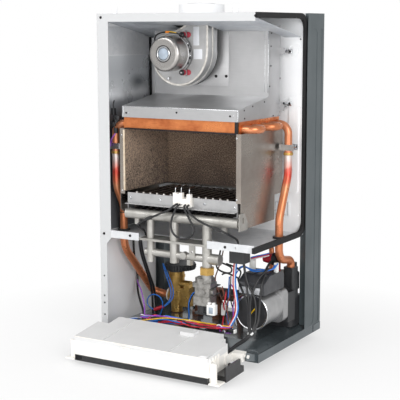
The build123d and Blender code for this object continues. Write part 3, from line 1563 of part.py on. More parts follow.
sleeve_r = 2.2
wire_r = 1.1
bundle_r = 4.5
bundle_z = 48.0
plug_z = transformer_low - 0.4
bundle_left = (-112.0, front + 23.0, bundle_z)
tie_point = (174.0, front + 23.0, 53.0)
wire_routes = {
    "bundle": (bundle_r, [
        bundle_left, (-82, front + 20, 46), (-41, front + 18, 50), (-6, front + 17, 51), (25, front + 18, 48),
        (62, front + 17, 47), (104, front + 21, 49), (122, front + 30, 52),
    ]),
    "left cable": (sleeve_r, [
        (-192, -200, floor_low), (-192, -200, 234), (-193, -196, 165), (-192, -182, 121),
        (-186, -195, 92), (-160, -222, 72), (-128, -256, 60), (-104, -288, 50),
    ]),
    "inner sleeve": (sleeve_r, [
        (-114, -284, floor_low), (-114, -284, 234), (-129, -255, 195), (-140, -205, 125), (-149, -172, 85),
        (-152, -165, tray_plateau + 0.8),
    ]),
    "second sleeve": (sleeve_r, [
        (-120, -282, floor_low), (-120, -282, 234), (-136, -253, 195), (-147, -203, 125), (-155, -175, 85),
        (-159, -168, tray_plateau + 0.8),
    ]),
    "violet wire": (wire_r, [
        (-190, -187, 111), (-176, -206, 107), (-158, -221, 100), (-142, -237, 86), (-116, -266, 66),
        (-104, -289, 50),
    ]),
    "first blue wire": (wire_r, [
        (-134, -161, 152), (-128, -167, 143), (-113, -168, 109), (-104, -170, 85), (-106, -176, 64),
        (-119, -182, 53),
    ]),
    "second blue wire": (wire_r, [
        (-131, -163, 152), (-122, -168, 140), (-107, -167, 112), (-99, -168, 88), (-101, -172, 66),
        (-117, -181, 53),
    ]),
    "blue loop": (wire_r, [
        (-141, -190, 44), (-156, -190, 48), (-162, -190, 62), (-155, -190, 77), (-138, -190, 83),
        (-122, -189, 76), (-117, -187, 60), (-124, -184, 40), (-130, -182, tray_plateau + 0.6),
    ]),
    "valve sleeve": (sleeve_r, [
        (22, -208, 132), (-6, -225, 115), (-18, -228, 95), (-17, -236, 76), (-2, -256, 63), (16, -296, 50),
    ]),
    "brown wire": (wire_r, [
        (88, -256, floor_low), (88, -256, 234), (82, -257, 205), (71, -256, 176), (63, -255, 157), (69, -255, 137),
        (86, -259, 107), (89, -260, 100),
    ]),
    "first red wire": (wire_r, [(89, -260, 80), (92, -266, 68), (100, -290, 50)]),
    "second red wire": (wire_r, [(92, -260, 80), (99, -264, 68), (112, -288, 51)]),
    "red wire of the bundle of three": (wire_r, [
        (119, -266, plug_z), (115, -264, 170), (114, -263, 152), (119, -265, 129), (125, -269, 105),
        (125, -273, 89), (121, -279, 74), (110, -290, 52),
    ]),
    "white wire": (wire_r, [
        (122, -266, plug_z), (118, -264, 170), (117, -263, 152), (122, -265, 129), (128, -269, 105),
        (128, -273, 89), (124, -279, 74), (114, -288, 54),
    ]),
    "blue wire": (wire_r, [
        (125, -266, plug_z), (121, -264, 170), (120, -263, 152), (125, -265, 129), (131, -269, 105),
        (131, -273, 89), (127, -280, 74), (117, -287, 55),
    ]),
    "pump cable": (sleeve_r, [
        (140, -262, plug_z), (147, -266, 164), (168, -267, 136), (175, -269, 111), (178, -275, 86),
        (178, -282, 69), tie_point,
    ]),
    "sensor cable": (sleeve_r, [
        (160, -172, 190), (166, -202, 184), (178, -233, 179), (185, -261, 164), (183, -266, 134),
        (184, -273, 88), (183, -282, 68), tie_point,
    ]),
    "yellow wire": (wire_r, [
        (175, -269, 108), (164, -267, 98), (157, -268, 84), (160, -278, 64), tie_point,
    ]),
}
with BuildPart() as wiring_harness:
    for label, (radius, route) in wire_routes.items():
        add(cord(route, radius, label))
    # sleeve over the blue wires' joint, and the connector in the brown wire
    add(rod((-141, -190, 44), (-117, -181.5, 54), 4.2))
    with BuildSketch(Plane.XY.offset(78)):
        with Locations((90, -260)):
            RectangleRounded(11, 9, 1)
    extrude(amount=24)
save(wiring_harness.part, "wiring_harness")

# ---------------------------------------------------------------------------
# Control box, folded down in front
# ---------------------------------------------------------------------------

box_plane = Plane(
    origin=(0, hinge_y, hinge_z), x_dir=(1, 0, 0), z_dir=(0, -sin(radians(droop)), cos(radians(droop)))
)


def at(height):
    """The control box's own plane, raised square to the lid."""
    return box_plane.offset(height)


def box_outline(height, inset):
    """The stepped outline that the lid and the housing share, set in by a wall."""
    with BuildSketch(mode=Mode.PRIVATE) as outline:
        with BuildLine():
            Polyline(
                (-lid_half, lid_front), (lid_half, lid_front), (lid_half, -26), (lid_half - 16, -26),
                (lid_half - 16, -6), (lid_half - 32, -6), (lid_half - 32, 15), (-30, lid_back),
                (-lid_half + 30, lid_back), (-lid_half + 30, lid_notch), (-lid_half, lid_notch), close=True,
            )
        make_face()
        if inset:
            offset(amount=-inset, kind=Kind.INTERSECTION, mode=Mode.REPLACE)
    return at(height) * outline.sketch


def lid_wedge(inset, drop):
    """The lid's sloping body, set in by a wall and lowered under the top skin."""
    slope = (lid_top - lid_top_front) / (lid_back - lid_front)
    with BuildPart() as wedge:
        extrude(box_outline(lid_low, inset), amount=lid_top - lid_low)
        side_plane = Plane(
            origin=box_plane.origin - box_plane.x_dir * case_width, x_dir=box_plane.y_dir,
            z_dir=box_plane.x_dir,
        )
        with BuildSketch(side_plane):
            with BuildLine():
                Polyline(
                    (lid_front - 1, lid_top_front - slope - drop), (lid_back + 1, lid_top + slope - drop),
                    (lid_back + 1, lid_top + 9), (lid_front - 1, lid_top + 9), close=True,
                )
            make_face()
        extrude(amount=2 * case_width, mode=Mode.SUBTRACT)
    return wedge.part


with BuildPart() as control_cover:
    add(lid_wedge(0, 0))
    add(lid_wedge(box_wall, box_wall), mode=Mode.SUBTRACT)
    # raised block at the back
    with BuildSketch(at(lid_top_front + 5)):
        with Locations((65, -8.5)):
            Rectangle(34, 25)
    extrude(amount=lid_block_top - lid_top_front - 5)
save(control_cover.part, "control_cover")

stem_r = 3.0
pad_origin = box_plane.origin + box_plane.y_dir * lid_front + box_plane.x_dir * -33
with BuildPart() as control_housing:
    extrude(box_outline(shell_low, 0), amount=lid_low - shell_low)
    extrude(box_outline(shell_low + box_wall, box_wall), amount=lid_low - shell_low, mode=Mode.SUBTRACT)
    # keyhole pad on the front wall
    with BuildSketch(Plane(origin=pad_origin, x_dir=box_plane.x_dir, z_dir=-box_plane.y_dir)):
        Rectangle(22, 20)
        with Locations((0, -2)):
            Rectangle(7, 7, mode=Mode.SUBTRACT)
    extrude(amount=1.5)
    # posts under the circuit board
    with BuildSketch(at(shell_low + box_wall)):
        with Locations((-140, -98), (140, -98), (-140, -38), (140, -38)):
            Circle(3)
    extrude(amount=board_z - shell_low - box_wall)
    # holes for the knobs' stems and the button's
    with BuildSketch(at(shell_low)):
        with Locations(*[(x, knob_y) for x in knob_x]):
            Circle(stem_r + running)
        with Locations((button_x, knob_y)):
            Circle(stem_r + slack)
    extrude(amount=box_wall, mode=Mode.SUBTRACT)
    for side in (-1, 1):
        # corner brackets with feet, in front of the fascia's ends
        with BuildSketch(at(fascia_low)):
            with Locations((side * (lid_half + 14), lid_front + 11)):
                Rectangle(24, 26)
        extrude(amount=3)
        with BuildSketch(at(fascia_low)):
            with Locations((side * (lid_half + 8), lid_front + 8)):
                Rectangle(16, 4)
            with Locations((side * (lid_half + 4), lid_front + 14)):
                Rectangle(3, 14)
        extrude(amount=lid_low - fascia_low - 2)
        # hinge lugs on the ends
        with BuildSketch(at(-9)):
            with Locations((side * (lid_half + 13.5), -4)):
                Rectangle(27, 20)
            with Locations((side * (lid_half + 2), -26)):
                Rectangle(4, 30)
        extrude(amount=18)
    for side in (-1, 1):
        with BuildSketch(Plane(origin=(side * (arm_x - 5), hinge_y, hinge_z), z_dir=(side, 0, 0))):
            Circle(hinge_pin_r)
        extrude(amount=arm_thick / 2 + 5 + 2.5)
save(control_housing.part, "control_housing")

with BuildPart() as control_fascia:
    with BuildSketch(at(fascia_low)):
        with BuildLine():
            Polyline(
                (-lid_half, fascia_front), (lid_half, fascia_front), (lid_half, fascia_step),
                (fascia_half, fascia_step), (fascia_half, fascia_back), (-fascia_half, fascia_back),
                (-fascia_half, fascia_step), (-lid_half, fascia_step), close=True,
            )
        make_face()
    extrude(amount=shell_low - fascia_low)
    # hollow behind the front, with cups for the knobs and a guide for the button
    with BuildSketch(at(fascia_low + fascia_wall)):
        with BuildLine():
            Polyline(
                (-lid_half + 2, fascia_front + fascia_wall), (lid_half - 2, fascia_front + fascia_wall),
                (lid_half - 2, fascia_back - fascia_wall), (-lid_half + 2, fascia_back - fascia_wall),
                close=True,
            )
        make_face()
        with Locations(*[(x, knob_y) for x in knob_x]):
            Circle(knob_r + knob_gap + fascia_wall, mode=Mode.SUBTRACT)
        with Locations((button_x, knob_y)):
            Circle(button_r + fascia_wall, mode=Mode.SUBTRACT)
    extrude(amount=shell_low - fascia_low, mode=Mode.SUBTRACT)
    with BuildSketch(at(fascia_low)):
        with Locations(*[(x, knob_y) for x in knob_x]):
            Circle(knob_r + knob_gap)
        with Locations((button_x, knob_y)):
            Circle(button_r + slack)
    extrude(amount=shell_low - fascia_low, mode=Mode.SUBTRACT)
    # display window
    with BuildSketch(at(fascia_low)):
        with Locations((95, knob_y)):
            RectangleRounded(58, 26, 3)
    extrude(amount=1, mode=Mode.SUBTRACT)
    # raised ends beside the housing, with a ledge along each
    for side in (-1, 1):
        with BuildSketch(at(shell_low)):
            with Locations((side * (fascia_half - 2), (fascia_step + fascia_end) / 2)):
                Rectangle(4, fascia_end - fascia_step)
        extrude(amount=-shell_low + 2)
        with BuildSketch(at(shell_low + 6)):
            with Locations((side * (fascia_half - 5), (fascia_step + fascia_end) / 2 + 5)):
                Rectangle(10, fascia_end - fascia_step - 14)
        extrude(amount=3)
save(control_fascia.part, "control_fascia")

# circuit board with its parts, and the two dials' potentiometers underneath
with BuildPart() as control_pcb:
    with BuildSketch(at(board_z)):
        with Locations((0, -68)):
            Rectangle(304, 72)
    extrude(amount=1.6)
    tall_parts = (
        (-120, -60, 34, 28, 22), (-70, -80, 20, 16, 15), (-46, -80, 20, 16, 15), (-22, -80, 20, 16, 15),
        (20, -58, 40, 26, 8), (75, -84, 12, 12, 18), (95, -84, 12, 12, 18), (130, -60, 16, 40, 11),
        (60, -48, 44, 10, 10), (-60, -46, 60, 9, 10),
    )
    for x, y, wide, deep, tall in tall_parts:
        with BuildSketch(at(board_z + 1.6)):
            with Locations((x, y)):
                Rectangle(wide, deep)
        extrude(amount=tall)
    with BuildSketch(at(pot_low)):
        with Locations(*[(x, knob_y) for x in knob_x]):
            Circle(8)
            Circle(stem_r + running, mode=Mode.SUBTRACT)
        with Locations((button_x, knob_y)):
            Rectangle(8, 8)
    extrude(amount=board_z - pot_low)
save(control_pcb.part, "control_pcb")

knob_low = fascia_low + 0.5
stem_top = board_z - 1.0


def knob(x):
    """A dial with a grip bar across its face and a stem up to the board."""
    with BuildPart() as dial:
        with BuildSketch(at(knob_low + 4)):
            with Locations((x, knob_y)):
                Circle(knob_r)
        extrude(amount=shell_low - seat - knob_low - 4)
        with BuildSketch(at(knob_low)):
            with Locations((x, knob_y)):
                SlotOverall(2 * knob_r - 2, 8, rotation=90)
        extrude(amount=4)
        with BuildSketch(at(shell_low - seat)):
            with Locations((x, knob_y)):
                Circle(stem_r)
        extrude(amount=stem_top - shell_low + seat)
    return dial.part


save(knob(knob_x[0]), "knob_heating")
save(knob(knob_x[1]), "knob_water")

with BuildPart() as reset_button:
    with BuildSketch(at(fascia_low - 1)):
        with Locations((button_x, knob_y)):
            Circle(button_r)
    extrude(amount=shell_low - button_travel - seat - fascia_low + 1)
    with BuildSketch(at(fascia_low)):
        with Locations((button_x, knob_y)):
            Circle(stem_r)
    extrude(amount=pot_low - button_travel - seat - fascia_low)
save(reset_button.part, "reset_button")

# wiring that crosses from the boiler to the box, beside the hinge line
entry_y = hinge_y + lid_notch - seat
box_links = {
    "left link": (bundle_r, [
        bundle_left, (-127, front + 24.5, bundle_z + 1), (-150, front - 4, 43), (-154, hinge_y + 8, 37),
        (-154, entry_y + 0.8, 33),
    ]),
    "right link": (bundle_r + 0.5, [
        (173.6, front + 22.3, 52.2), (170, front + 16, 45), (160, front - 10, 38),
        (158.5, hinge_y + 6, 34), (158.5, entry_y - 3, 30),
    ]),
}
with BuildPart() as box_harness:
    for label, (radius, route) in box_links.items():
        add(cord(route, radius, label))
save(box_harness.part, "box_harness")
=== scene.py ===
"""Looks of a wall-hung combi boiler with its front cover off and its control box folded down.

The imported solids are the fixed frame. Each sub-assembly below gives its solids their real
finishes and adds the fine pieces that the solids leave plain. Lengths are in mm in the row
frame, unless a comment says metres, and are turned into metres where a mesh is made.
"""

import logging
import math
import random
from collections.abc import Iterable
from dataclasses import dataclass
from enum import Enum
from functools import cache
from typing import ClassVar

import bmesh
import bpy
from mathutils import Matrix, Vector


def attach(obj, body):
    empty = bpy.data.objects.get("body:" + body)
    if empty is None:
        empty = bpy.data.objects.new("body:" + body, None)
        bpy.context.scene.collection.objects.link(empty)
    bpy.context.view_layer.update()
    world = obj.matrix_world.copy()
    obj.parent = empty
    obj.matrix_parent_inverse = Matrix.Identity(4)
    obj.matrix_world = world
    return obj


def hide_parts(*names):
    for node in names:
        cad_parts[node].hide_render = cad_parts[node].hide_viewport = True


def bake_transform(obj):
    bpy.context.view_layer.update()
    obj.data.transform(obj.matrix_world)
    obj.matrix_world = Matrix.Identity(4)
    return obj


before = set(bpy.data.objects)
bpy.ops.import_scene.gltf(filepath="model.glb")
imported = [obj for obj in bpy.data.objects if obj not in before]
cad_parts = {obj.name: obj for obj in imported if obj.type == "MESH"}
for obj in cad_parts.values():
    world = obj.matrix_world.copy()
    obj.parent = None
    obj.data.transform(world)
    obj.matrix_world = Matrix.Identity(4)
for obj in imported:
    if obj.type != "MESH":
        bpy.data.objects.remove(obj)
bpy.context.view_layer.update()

MM = 0.001
LINE_STEPS = 8      # steps between two control points of a line
LINE_ROUND = 3      # steps on a quarter of its round, besides the ends
LOG = logging.getLogger("boiler")

Point = tuple[float, float, float]
Span = tuple[float, float]
Profile = list[tuple[float, float]]
Spots = list[tuple[Point, Point]]
Boxes = list[tuple[Point, Point]]
Tree = bpy.types.NodeTree
Socket = bpy.types.NodeSocket
Piece = bpy.types.Object

FRONT: Point = (0.0, -1.0, 0.0)
RIGHT: Point = (1.0, 0.0, 0.0)
UP: Point = (0.0, 0.0, 1.0)
WHITE = (1.0, 1.0, 1.0, 1.0)


def linear(code: str) -> tuple[float, float, float, float]:
    """Turn an sRGB hex colour into the linear colour that a node takes.

    Args:
        code: the colour as six hex digits.

    Returns:
        Linear red, green and blue, with an alpha of 1.
    """
    parts = [int(code[i:i + 2], 16) / 255 for i in (0, 2, 4)]
    red, green, blue = (c / 12.92 if c <= 0.04045 else ((c + 0.055) / 1.055) ** 2.4 for c in parts)
    return (red, green, blue, 1.0)


def add_node(tree: Tree, kind: str, links: dict | None = None, **settings) -> bpy.types.Node:
    """Add one shader node with its settings, and its inputs linked or set.

    Args:
        tree: the tree that takes the node.
        kind: the node's type, without the word ShaderNode in front.
        links: input name or number to an output socket, or to a plain value.
        **settings: attributes of the node.

    Returns:
        The node.
    """
    made = tree.nodes.new(f"ShaderNode{kind}")
    for key, value in settings.items():
        setattr(made, key, value)
    for name, source in (links or {}).items():
        if isinstance(source, Socket):
            tree.links.new(source, made.inputs[name])
        else:
            made.inputs[name].default_value = source
    return made


def empty_tree(owner: bpy.types.Material | bpy.types.World) -> Tree:
    """Return the owner's node tree, cleared."""
    owner.use_nodes = True
    owner.node_tree.nodes.clear()
    return owner.node_tree


def on_object(tree: Tree) -> Socket:
    """Return the place on the object, in metres."""
    return add_node(tree, "TexCoord").outputs["Object"]


def calc(tree: Tree, operation: str, *values: Socket | float) -> Socket:
    """Return what one maths node makes of its values."""
    return add_node(tree, "Math", dict(enumerate(values)), operation=operation).outputs["Value"]


def noise(tree: Tree, spot: Socket, scale: float, detail: float = 2.0) -> Socket:
    """Return noise from 0 to 1, with the given number of blobs per metre."""
    return add_node(tree, "TexNoise", {"Vector": spot, "Scale": scale, "Detail": detail}).outputs["Fac"]


def rescale(tree: Tree, value: Socket, old: Span, new: Span = (0.0, 1.0)) -> Socket:
    """Return a value moved from one span to another, and kept inside the new one."""
    spans = {"From Min": old[0], "From Max": old[1], "To Min": new[0], "To Max": new[1]}
    return add_node(tree, "MapRange", {"Value": value, **spans}).outputs["Result"]


def mix(tree: Tree, share: Socket, first: Socket | tuple, second: Socket | tuple) -> Socket:
    """Return the first colour, with the given share of the second over it."""
    return add_node(tree, "MixRGB", {"Fac": share, "Color1": first, "Color2": second}).outputs["Color"]


def colour_ramp(tree: Tree, share: Socket, stops: list[tuple[float, str]]) -> Socket:
    """Return the colour that a value from 0 to 1 picks between stops.

    Args:
        tree: the material's tree.
        share: the value.
        stops: rising positions from 0 to 1, each with its sRGB colour.

    Returns:
        The colour.
    """
    ramp = add_node(tree, "ValToRGB", {"Fac": share})
    elements = ramp.color_ramp.elements
    while len(elements) < len(stops):
        elements.new(0.5)
    for element, (position, _) in zip(elements, stops):
        element.position = position
    for element, (_, code) in zip(elements, stops):
        element.color = linear(code)
    return ramp.outputs["Color"]


def new_object(name: str, data: bpy.types.ID) -> Piece:
    """Return a new object of the scene that shows the data."""
    made = bpy.data.objects.new(name, data)
    bpy.context.scene.collection.objects.link(made)
    return made


def aimed(axis: Point, forward: str) -> Matrix:
    """Return the turn that points an object's forward axis along the given one."""
    return Vector(axis).to_track_quat(forward, "Y").to_matrix().to_4x4()


class Grain(Enum):
    """The fine relief that a surface's making leaves on it."""

    SPECKLE = "speckle"      # moulded or cast
    BRUSHED = "brushed"      # drawn or brushed, in lines along one axis
    SPANGLE = "spangle"      # zinc crystals of hot-dip galvanising
    FIBRE = "fibre"          # pressed fibres


@dataclass(frozen=True)
class Finish:
    """One real finish: its two colours, its gloss and the relief of its surface.

    Patches of its second colour and of another gloss are patch_mm across. Its grain is
    grain_mm across and depth_mm deep, and takes grain_share of the colour's wandering.
    Grain finer than about 0.8 mm would not show in the picture, so no finish here is given finer grain.
    """

    name: str
    colour: str
    second: str
    metallic: float = 0.0
    roughness: float = 0.5
    wander: float = 0.08
    patch_mm: float = 60.0
    grain: Grain = Grain.SPECKLE
    grain_mm: float = 1.0
    depth_mm: float = 0.05
    grain_share: float = 0.15
    stretch: Point = (1.0, 1.0, 1.0)
    coat: float = 0.0
    sheen: float = 0.0
    # Most values of a noise lie in these spans: one moves the gloss, the other the colour.
    gloss_span: ClassVar[Span] = (0.3, 0.7)
    colour_span: ClassVar[Span] = (0.35, 0.75)
    relief_strength: ClassVar[float] = 0.6

    def relief(self, tree: Tree, spot: Socket) -> Socket:
        """Return the height of the surface's grain.

        Args:
            tree: the material's tree.
            spot: the place on the object, in metres.

        Returns:
            A value from 0 to 1.
        """
        scale = 1000 / self.grain_mm
        if self.grain is Grain.SPANGLE:
            return add_node(tree, "TexVoronoi", {"Vector": spot, "Scale": scale}).outputs["Color"]
        detail = {Grain.BRUSHED: 2.0, Grain.FIBRE: 6.0}.get(self.grain, 3.0)
        return noise(tree, spot, scale, detail)

    def tint(self, tree: Tree, blend: Socket) -> Socket:
        """Return the colour of the surface, which wanders between its two colours.

        Args:
            tree: the material's tree.
            blend: a value from 0 to 1 that mixes patches and grain.

        Returns:
            The base colour.
        """
        return colour_ramp(tree, blend, list(zip(self.colour_span, (self.colour, self.second))))

    def build(self) -> bpy.types.Material:
        """Make the material.

        Returns:
            A material of one Principled shader with a procedural colour, gloss and relief.
        """
        material = bpy.data.materials.new(self.name)
        tree = empty_tree(material)
        place = on_object(tree)
        spot = add_node(tree, "Mapping", {"Vector": place, "Scale": self.stretch}).outputs["Vector"]
        grain = self.relief(tree, spot)
        offset = calc(tree, "MULTIPLY_ADD", grain, self.grain_share, -self.grain_share / 2)
        blend = calc(tree, "ADD", noise(tree, place, 1000 / self.patch_mm, 4.0), offset)
        gloss = (max(0.02, self.roughness - self.wander), min(1.0, self.roughness + self.wander))
        bump = {"Height": grain, "Strength": self.relief_strength, "Distance": self.depth_mm * MM}
        shader = add_node(tree, "BsdfPrincipled", {
            "Base Color": self.tint(tree, blend), "Roughness": rescale(tree, blend, self.gloss_span, gloss),
            "Normal": add_node(tree, "Bump", bump).outputs["Normal"], "Metallic": self.metallic,
            "Coat Weight": self.coat, "Sheen Weight": self.sheen,
        })
        add_node(tree, "OutputMaterial", {"Surface": shader.outputs["BSDF"]})
        return material


@dataclass(frozen=True)
class HeightFinish(Finish):
    """A finish whose colour also changes with height, in given bands: heat tint at soldered copper joints,
    darker and lighter bands on zinc.

    Each stop is a height and the colour there.
    """

    stops: tuple[tuple[float, str], ...] = ()
    ragged_mm: ClassVar[float] = 30.0

    def tint(self, tree: Tree, blend: Socket) -> Socket:
        """Return the colour by height, with the patches moving its edges up and down.

        Args:
            tree: the material's tree.
            blend: a value from 0 to 1 that mixes patches and grain.

        Returns:
            The base colour.
        """
        low, high = self.stops[0][0], self.stops[-1][0]
        height = add_node(tree, "SeparateXYZ", {"Vector": on_object(tree)}).outputs["Z"]
        ragged = calc(tree, "MULTIPLY_ADD", blend, self.ragged_mm * MM, height)
        middle = self.ragged_mm / 2
        share = rescale(tree, ragged, ((low + middle) * MM, (high + middle) * MM))
        return colour_ramp(tree, share, [((level - low) / (high - low), code) for level, code in self.stops])


@dataclass(frozen=True)
class FlangeShadeFinish(Finish):
    """A finish that stops at the front flange, whose front face is painted a darker colour as shade."""

    # Darker colour painted on the flange's front face as shade; it is the same panel as inside.
    flange: str = "C4C5C6"
    flange_y: float = -313.5

    def tint(self, tree: Tree, blend: Socket) -> Socket:
        """Return the coating's colour, or, in front of the given depth, the flange's darker colour of painted
        shade.

        Args:
            tree: the material's tree.
            blend: a value from 0 to 1 that mixes patches and grain.

        Returns:
            The base colour.
        """
        inside = super().tint(tree, blend)
        depth = add_node(tree, "SeparateXYZ", {"Vector": on_object(tree)}).outputs["Y"]
        return mix(tree, calc(tree, "GREATER_THAN", depth, self.flange_y * MM), linear(self.flange), inside)


@dataclass(frozen=True)
class CloudedFinish(HeightFinish):
    """A height finish with one soft dark cloud on bright zinc.

    The cloud has its middle at the given place, and its reach along each axis.
    """

    cloud: Point = (-203.0, -152.0, 584.0)
    reach: Point = (40.0, 52.0, 20.0)
    cloud_colour: str = "54595F"
    wisps_per_m: ClassVar[float] = 16.0
    fade: ClassVar[Span] = (1.6, 0.7)
    strongest: ClassVar[float] = 0.85

    def tint(self, tree: Tree, blend: Socket) -> Socket:
        """Return the colour by height, darkened in the cloud.

        Args:
            tree: the material's tree.
            blend: a value from 0 to 1 that mixes patches and grain.

        Returns:
            The base colour.
        """
        ground = super().tint(tree, blend)
        place = on_object(tree)
        middle = tuple(c * MM for c in self.cloud)
        away = add_node(tree, "VectorMath", {0: place, 1: middle}, operation="SUBTRACT").outputs["Vector"]
        per_reach = tuple(1 / (r * MM) for r in self.reach)
        scaled = add_node(tree, "VectorMath", {0: away, 1: per_reach}, operation="MULTIPLY").outputs["Vector"]
        far = add_node(tree, "VectorMath", {0: scaled}, operation="LENGTH").outputs["Value"]
        ragged = calc(tree, "ADD", far, noise(tree, place, self.wisps_per_m))
        return mix(tree, rescale(tree, ragged, self.fade, (0.0, self.strongest)), ground, linear(self.cloud_colour))


# Sheet metal and castings: coated, painted, plated or bare, with a slightly wavy gloss.
# Pale panel paint; its front flange's face is darkened as painted shade.
PALE_PANEL = FlangeShadeFinish(
    "powder_coated_steel_pale_grey", "F1F2F3", "E9EAEC", 0.0, 0.42, 0.05, 90, depth_mm=0.02
)
CHAMBER_ZINC = Finish(
    "galvanised_steel_light", "DCDDDF", "CDCFD2", 0.3, 0.36, 0.07, 70, Grain.SPANGLE, 9, 0.03, 0.25
)
# Zinc liner: darker towards the bottom, brightest just above 550 mm, with one soft dark cloud.
CLOUDED_ZINC = CloudedFinish(
    "galvanised_steel_clouded", "B9BDC2", "7F858C", 0.4, 0.32, 0.08, 90, Grain.SPECKLE, 1.4, 0.02, 0.02,
    stops=(
        (245, "84868A"), (430, "6B6D71"), (500, "7C7F84"), (540, "9A9DA2"), (556, "D8DADD"),
        (575, "D6D9DC"), (610, "CDD0D4"), (646, "DDE0E3"),
    ),
)
# Galvanised ceiling sheet, painted darker and bluer as the shade on its underside under the roof.
SHADED_CEILING_ZINC = Finish("galvanised_steel_ceiling_painted_shade", "C3C7CC", "A9AEB5", 0.2, 0.4, 0.08, 70, depth_mm=0.02)
FRAME_SLATE = Finish("painted_steel_slate", "5B6366", "4D5659", 0.25, 0.34, 0.06, 120, depth_mm=0.02)
TRAY_SLATE = Finish(
    "enamelled_steel_slate", "6A7377", "565E62", 0.6, 0.2, 0.06, 80, depth_mm=0.02, coat=0.3
)
ALUMINISED = Finish(
    "aluminised_steel", "BCBCBD", "ABABAC", 0.8, 0.36, 0.06, 80, Grain.BRUSHED, 1.2, 0.03, 0.2,
    stretch=(0.04, 1.0, 1.0),
)
# Stainless steel: its warm tint is partly heat tint and partly paints in the copper's reflection on the
# combustion casing's side. The burner bars' bright strips use it as painted highlight.
WARM_STEEL = Finish(
    "stainless_steel_heat_tint_and_painted_reflection", "A59D95", "8D857E", 1.0, 0.3, 0.07, 70, Grain.BRUSHED, 1.2, 0.03, 0.2,
    stretch=(1.0, 0.04, 1.0),
)
SPUN_STEEL = Finish(
    "spun_steel", "B3B0AD", "999693", 1.0, 0.3, 0.08, 40, Grain.BRUSHED, 0.9, 0.03, 0.25,
    stretch=(1.0, 0.05, 1.0),
)
CAST_ALUMINIUM = Finish(
    "cast_aluminium", "B7B5B0", "9C9A95", 0.8, 0.46, 0.08, 25, Grain.SPECKLE, 1.1, 0.12, 0.3
)
# Pale steel of the burner tips, and the pale lines of painted highlight on the scroll's rounded edges.
PALE_STEEL_AND_HIGHLIGHT = Finish(
    "pale_steel_and_edge_highlight", "D9D6D0", "B9B5AE", 0.2, 0.4, 0.08, 10, depth_mm=0.03, grain_share=0.3
)
DIE_CAST = Finish(
    "die_cast_aluminium", "BDBDBD", "A3A3A4", 0.85, 0.36, 0.07, 40, Grain.SPECKLE, 0.9, 0.06, 0.2
)
DARK_CASTING = Finish(
    "cast_aluminium_weathered", "A3A19D", "6E6C69", 0.8, 0.44, 0.1, 12, Grain.SPECKLE, 1.1, 0.12, 0.5
)
BRIGHT_ZINC = Finish("zinc_plated_steel", "D2D3D4", "AEB0B3", 1.0, 0.2, 0.08, 14, depth_mm=0.02)
BURNER_STEEL = Finish(
    "burnt_steel", "26262A", "3A3634", 0.85, 0.42, 0.1, 18, depth_mm=0.08, grain_share=0.3
)
# Copper and brass: machined or drawn, with the brown patches that heat and hands leave.
COPPER = Finish("drawn_copper", "DE936A", "B0663F", 0.8, 0.28, 0.08, 28, depth_mm=0.05, grain_share=0.2)
COPPER_SHEET = Finish(
    "copper_sheet_heated", "E08C55", "A85A33", 0.75, 0.34, 0.09, 35, Grain.BRUSHED, 1.5, 0.08, 0.25,
    stretch=(0.08, 1.0, 1.0),
)
SOLDERED_COPPER = HeightFinish(
    "copper_heated_at_joint", "DE936A", "B0663F", 0.6, 0.32, 0.06, 20, depth_mm=0.05, grain_share=0.2,
    stops=(
        (338, "CD8057"), (356, "D2906A"), (370, "CF6C4E"), (384, "C9483C"), (396, "D56A5C"),
        (404, "E0A79C"), (412, "D9B9B2"), (424, "E4DAD6"), (431, "D08D69"), (440, "CF8660"),
    ),
)
# Aged copper of the connection pipes, darkened further as painted shade for pipes lying in shadow.
AGED_SHADED_COPPER = Finish(
    "aged_copper_with_painted_shade", "7A5340", "4A3226", 0.7, 0.42, 0.1, 24, depth_mm=0.06, grain_share=0.25
)
BRASS = Finish("machined_brass", "CBA55F", "97773D", 0.8, 0.34, 0.1, 18, depth_mm=0.05, grain_share=0.25)
# Moulded plastics: the finest spark-eroded grain, soft highlights.
ABS_BLACK = Finish("moulded_nylon_black", "1E1F21", "27282A", 0.0, 0.42, 0.06, 30, depth_mm=0.06)
COMPOSITE = Finish("glass_filled_nylon_black", "242527", "313234", 0.0, 0.5, 0.08, 20, depth_mm=0.1)
GREY_NYLON = Finish("glass_filled_nylon_grey", "46474A", "3A3B3E", 0.0, 0.4, 0.08, 20, depth_mm=0.08)
GLOSS_BLACK = Finish(
    "polished_abs_black", "141517", "1A1B1D", 0.0, 0.24, 0.05, 60, depth_mm=0.02, coat=0.2
)
ABS_WHITE = Finish("moulded_abs_white", "E0E0E0", "D8D8D8", 0.0, 0.46, 0.05, 70, depth_mm=0.04)
ABS_CREAM = Finish("moulded_abs_cream", "F6F4F0", "EEEAE2", 0.0, 0.48, 0.05, 40, depth_mm=0.04)
NYLON_WHITE = Finish("moulded_nylon_white", "F0F0EE", "E2E2DF", 0.0, 0.45, 0.05, 12, depth_mm=0.03)
NYLON_RED = Finish("moulded_nylon_red", "B3122A", "8E0D20", 0.0, 0.4, 0.05, 12, depth_mm=0.03)
LABEL = Finish("polyester_label_bare", "D6D8DC", "CACCD1", 0.2, 0.4, 0.05, 20, depth_mm=0.01)
DIAL_DISC = Finish("anodised_aluminium_blue_grey", "A4AFBB", "8E9AA8", 0.3, 0.45, 0.06, 9, depth_mm=0.01)
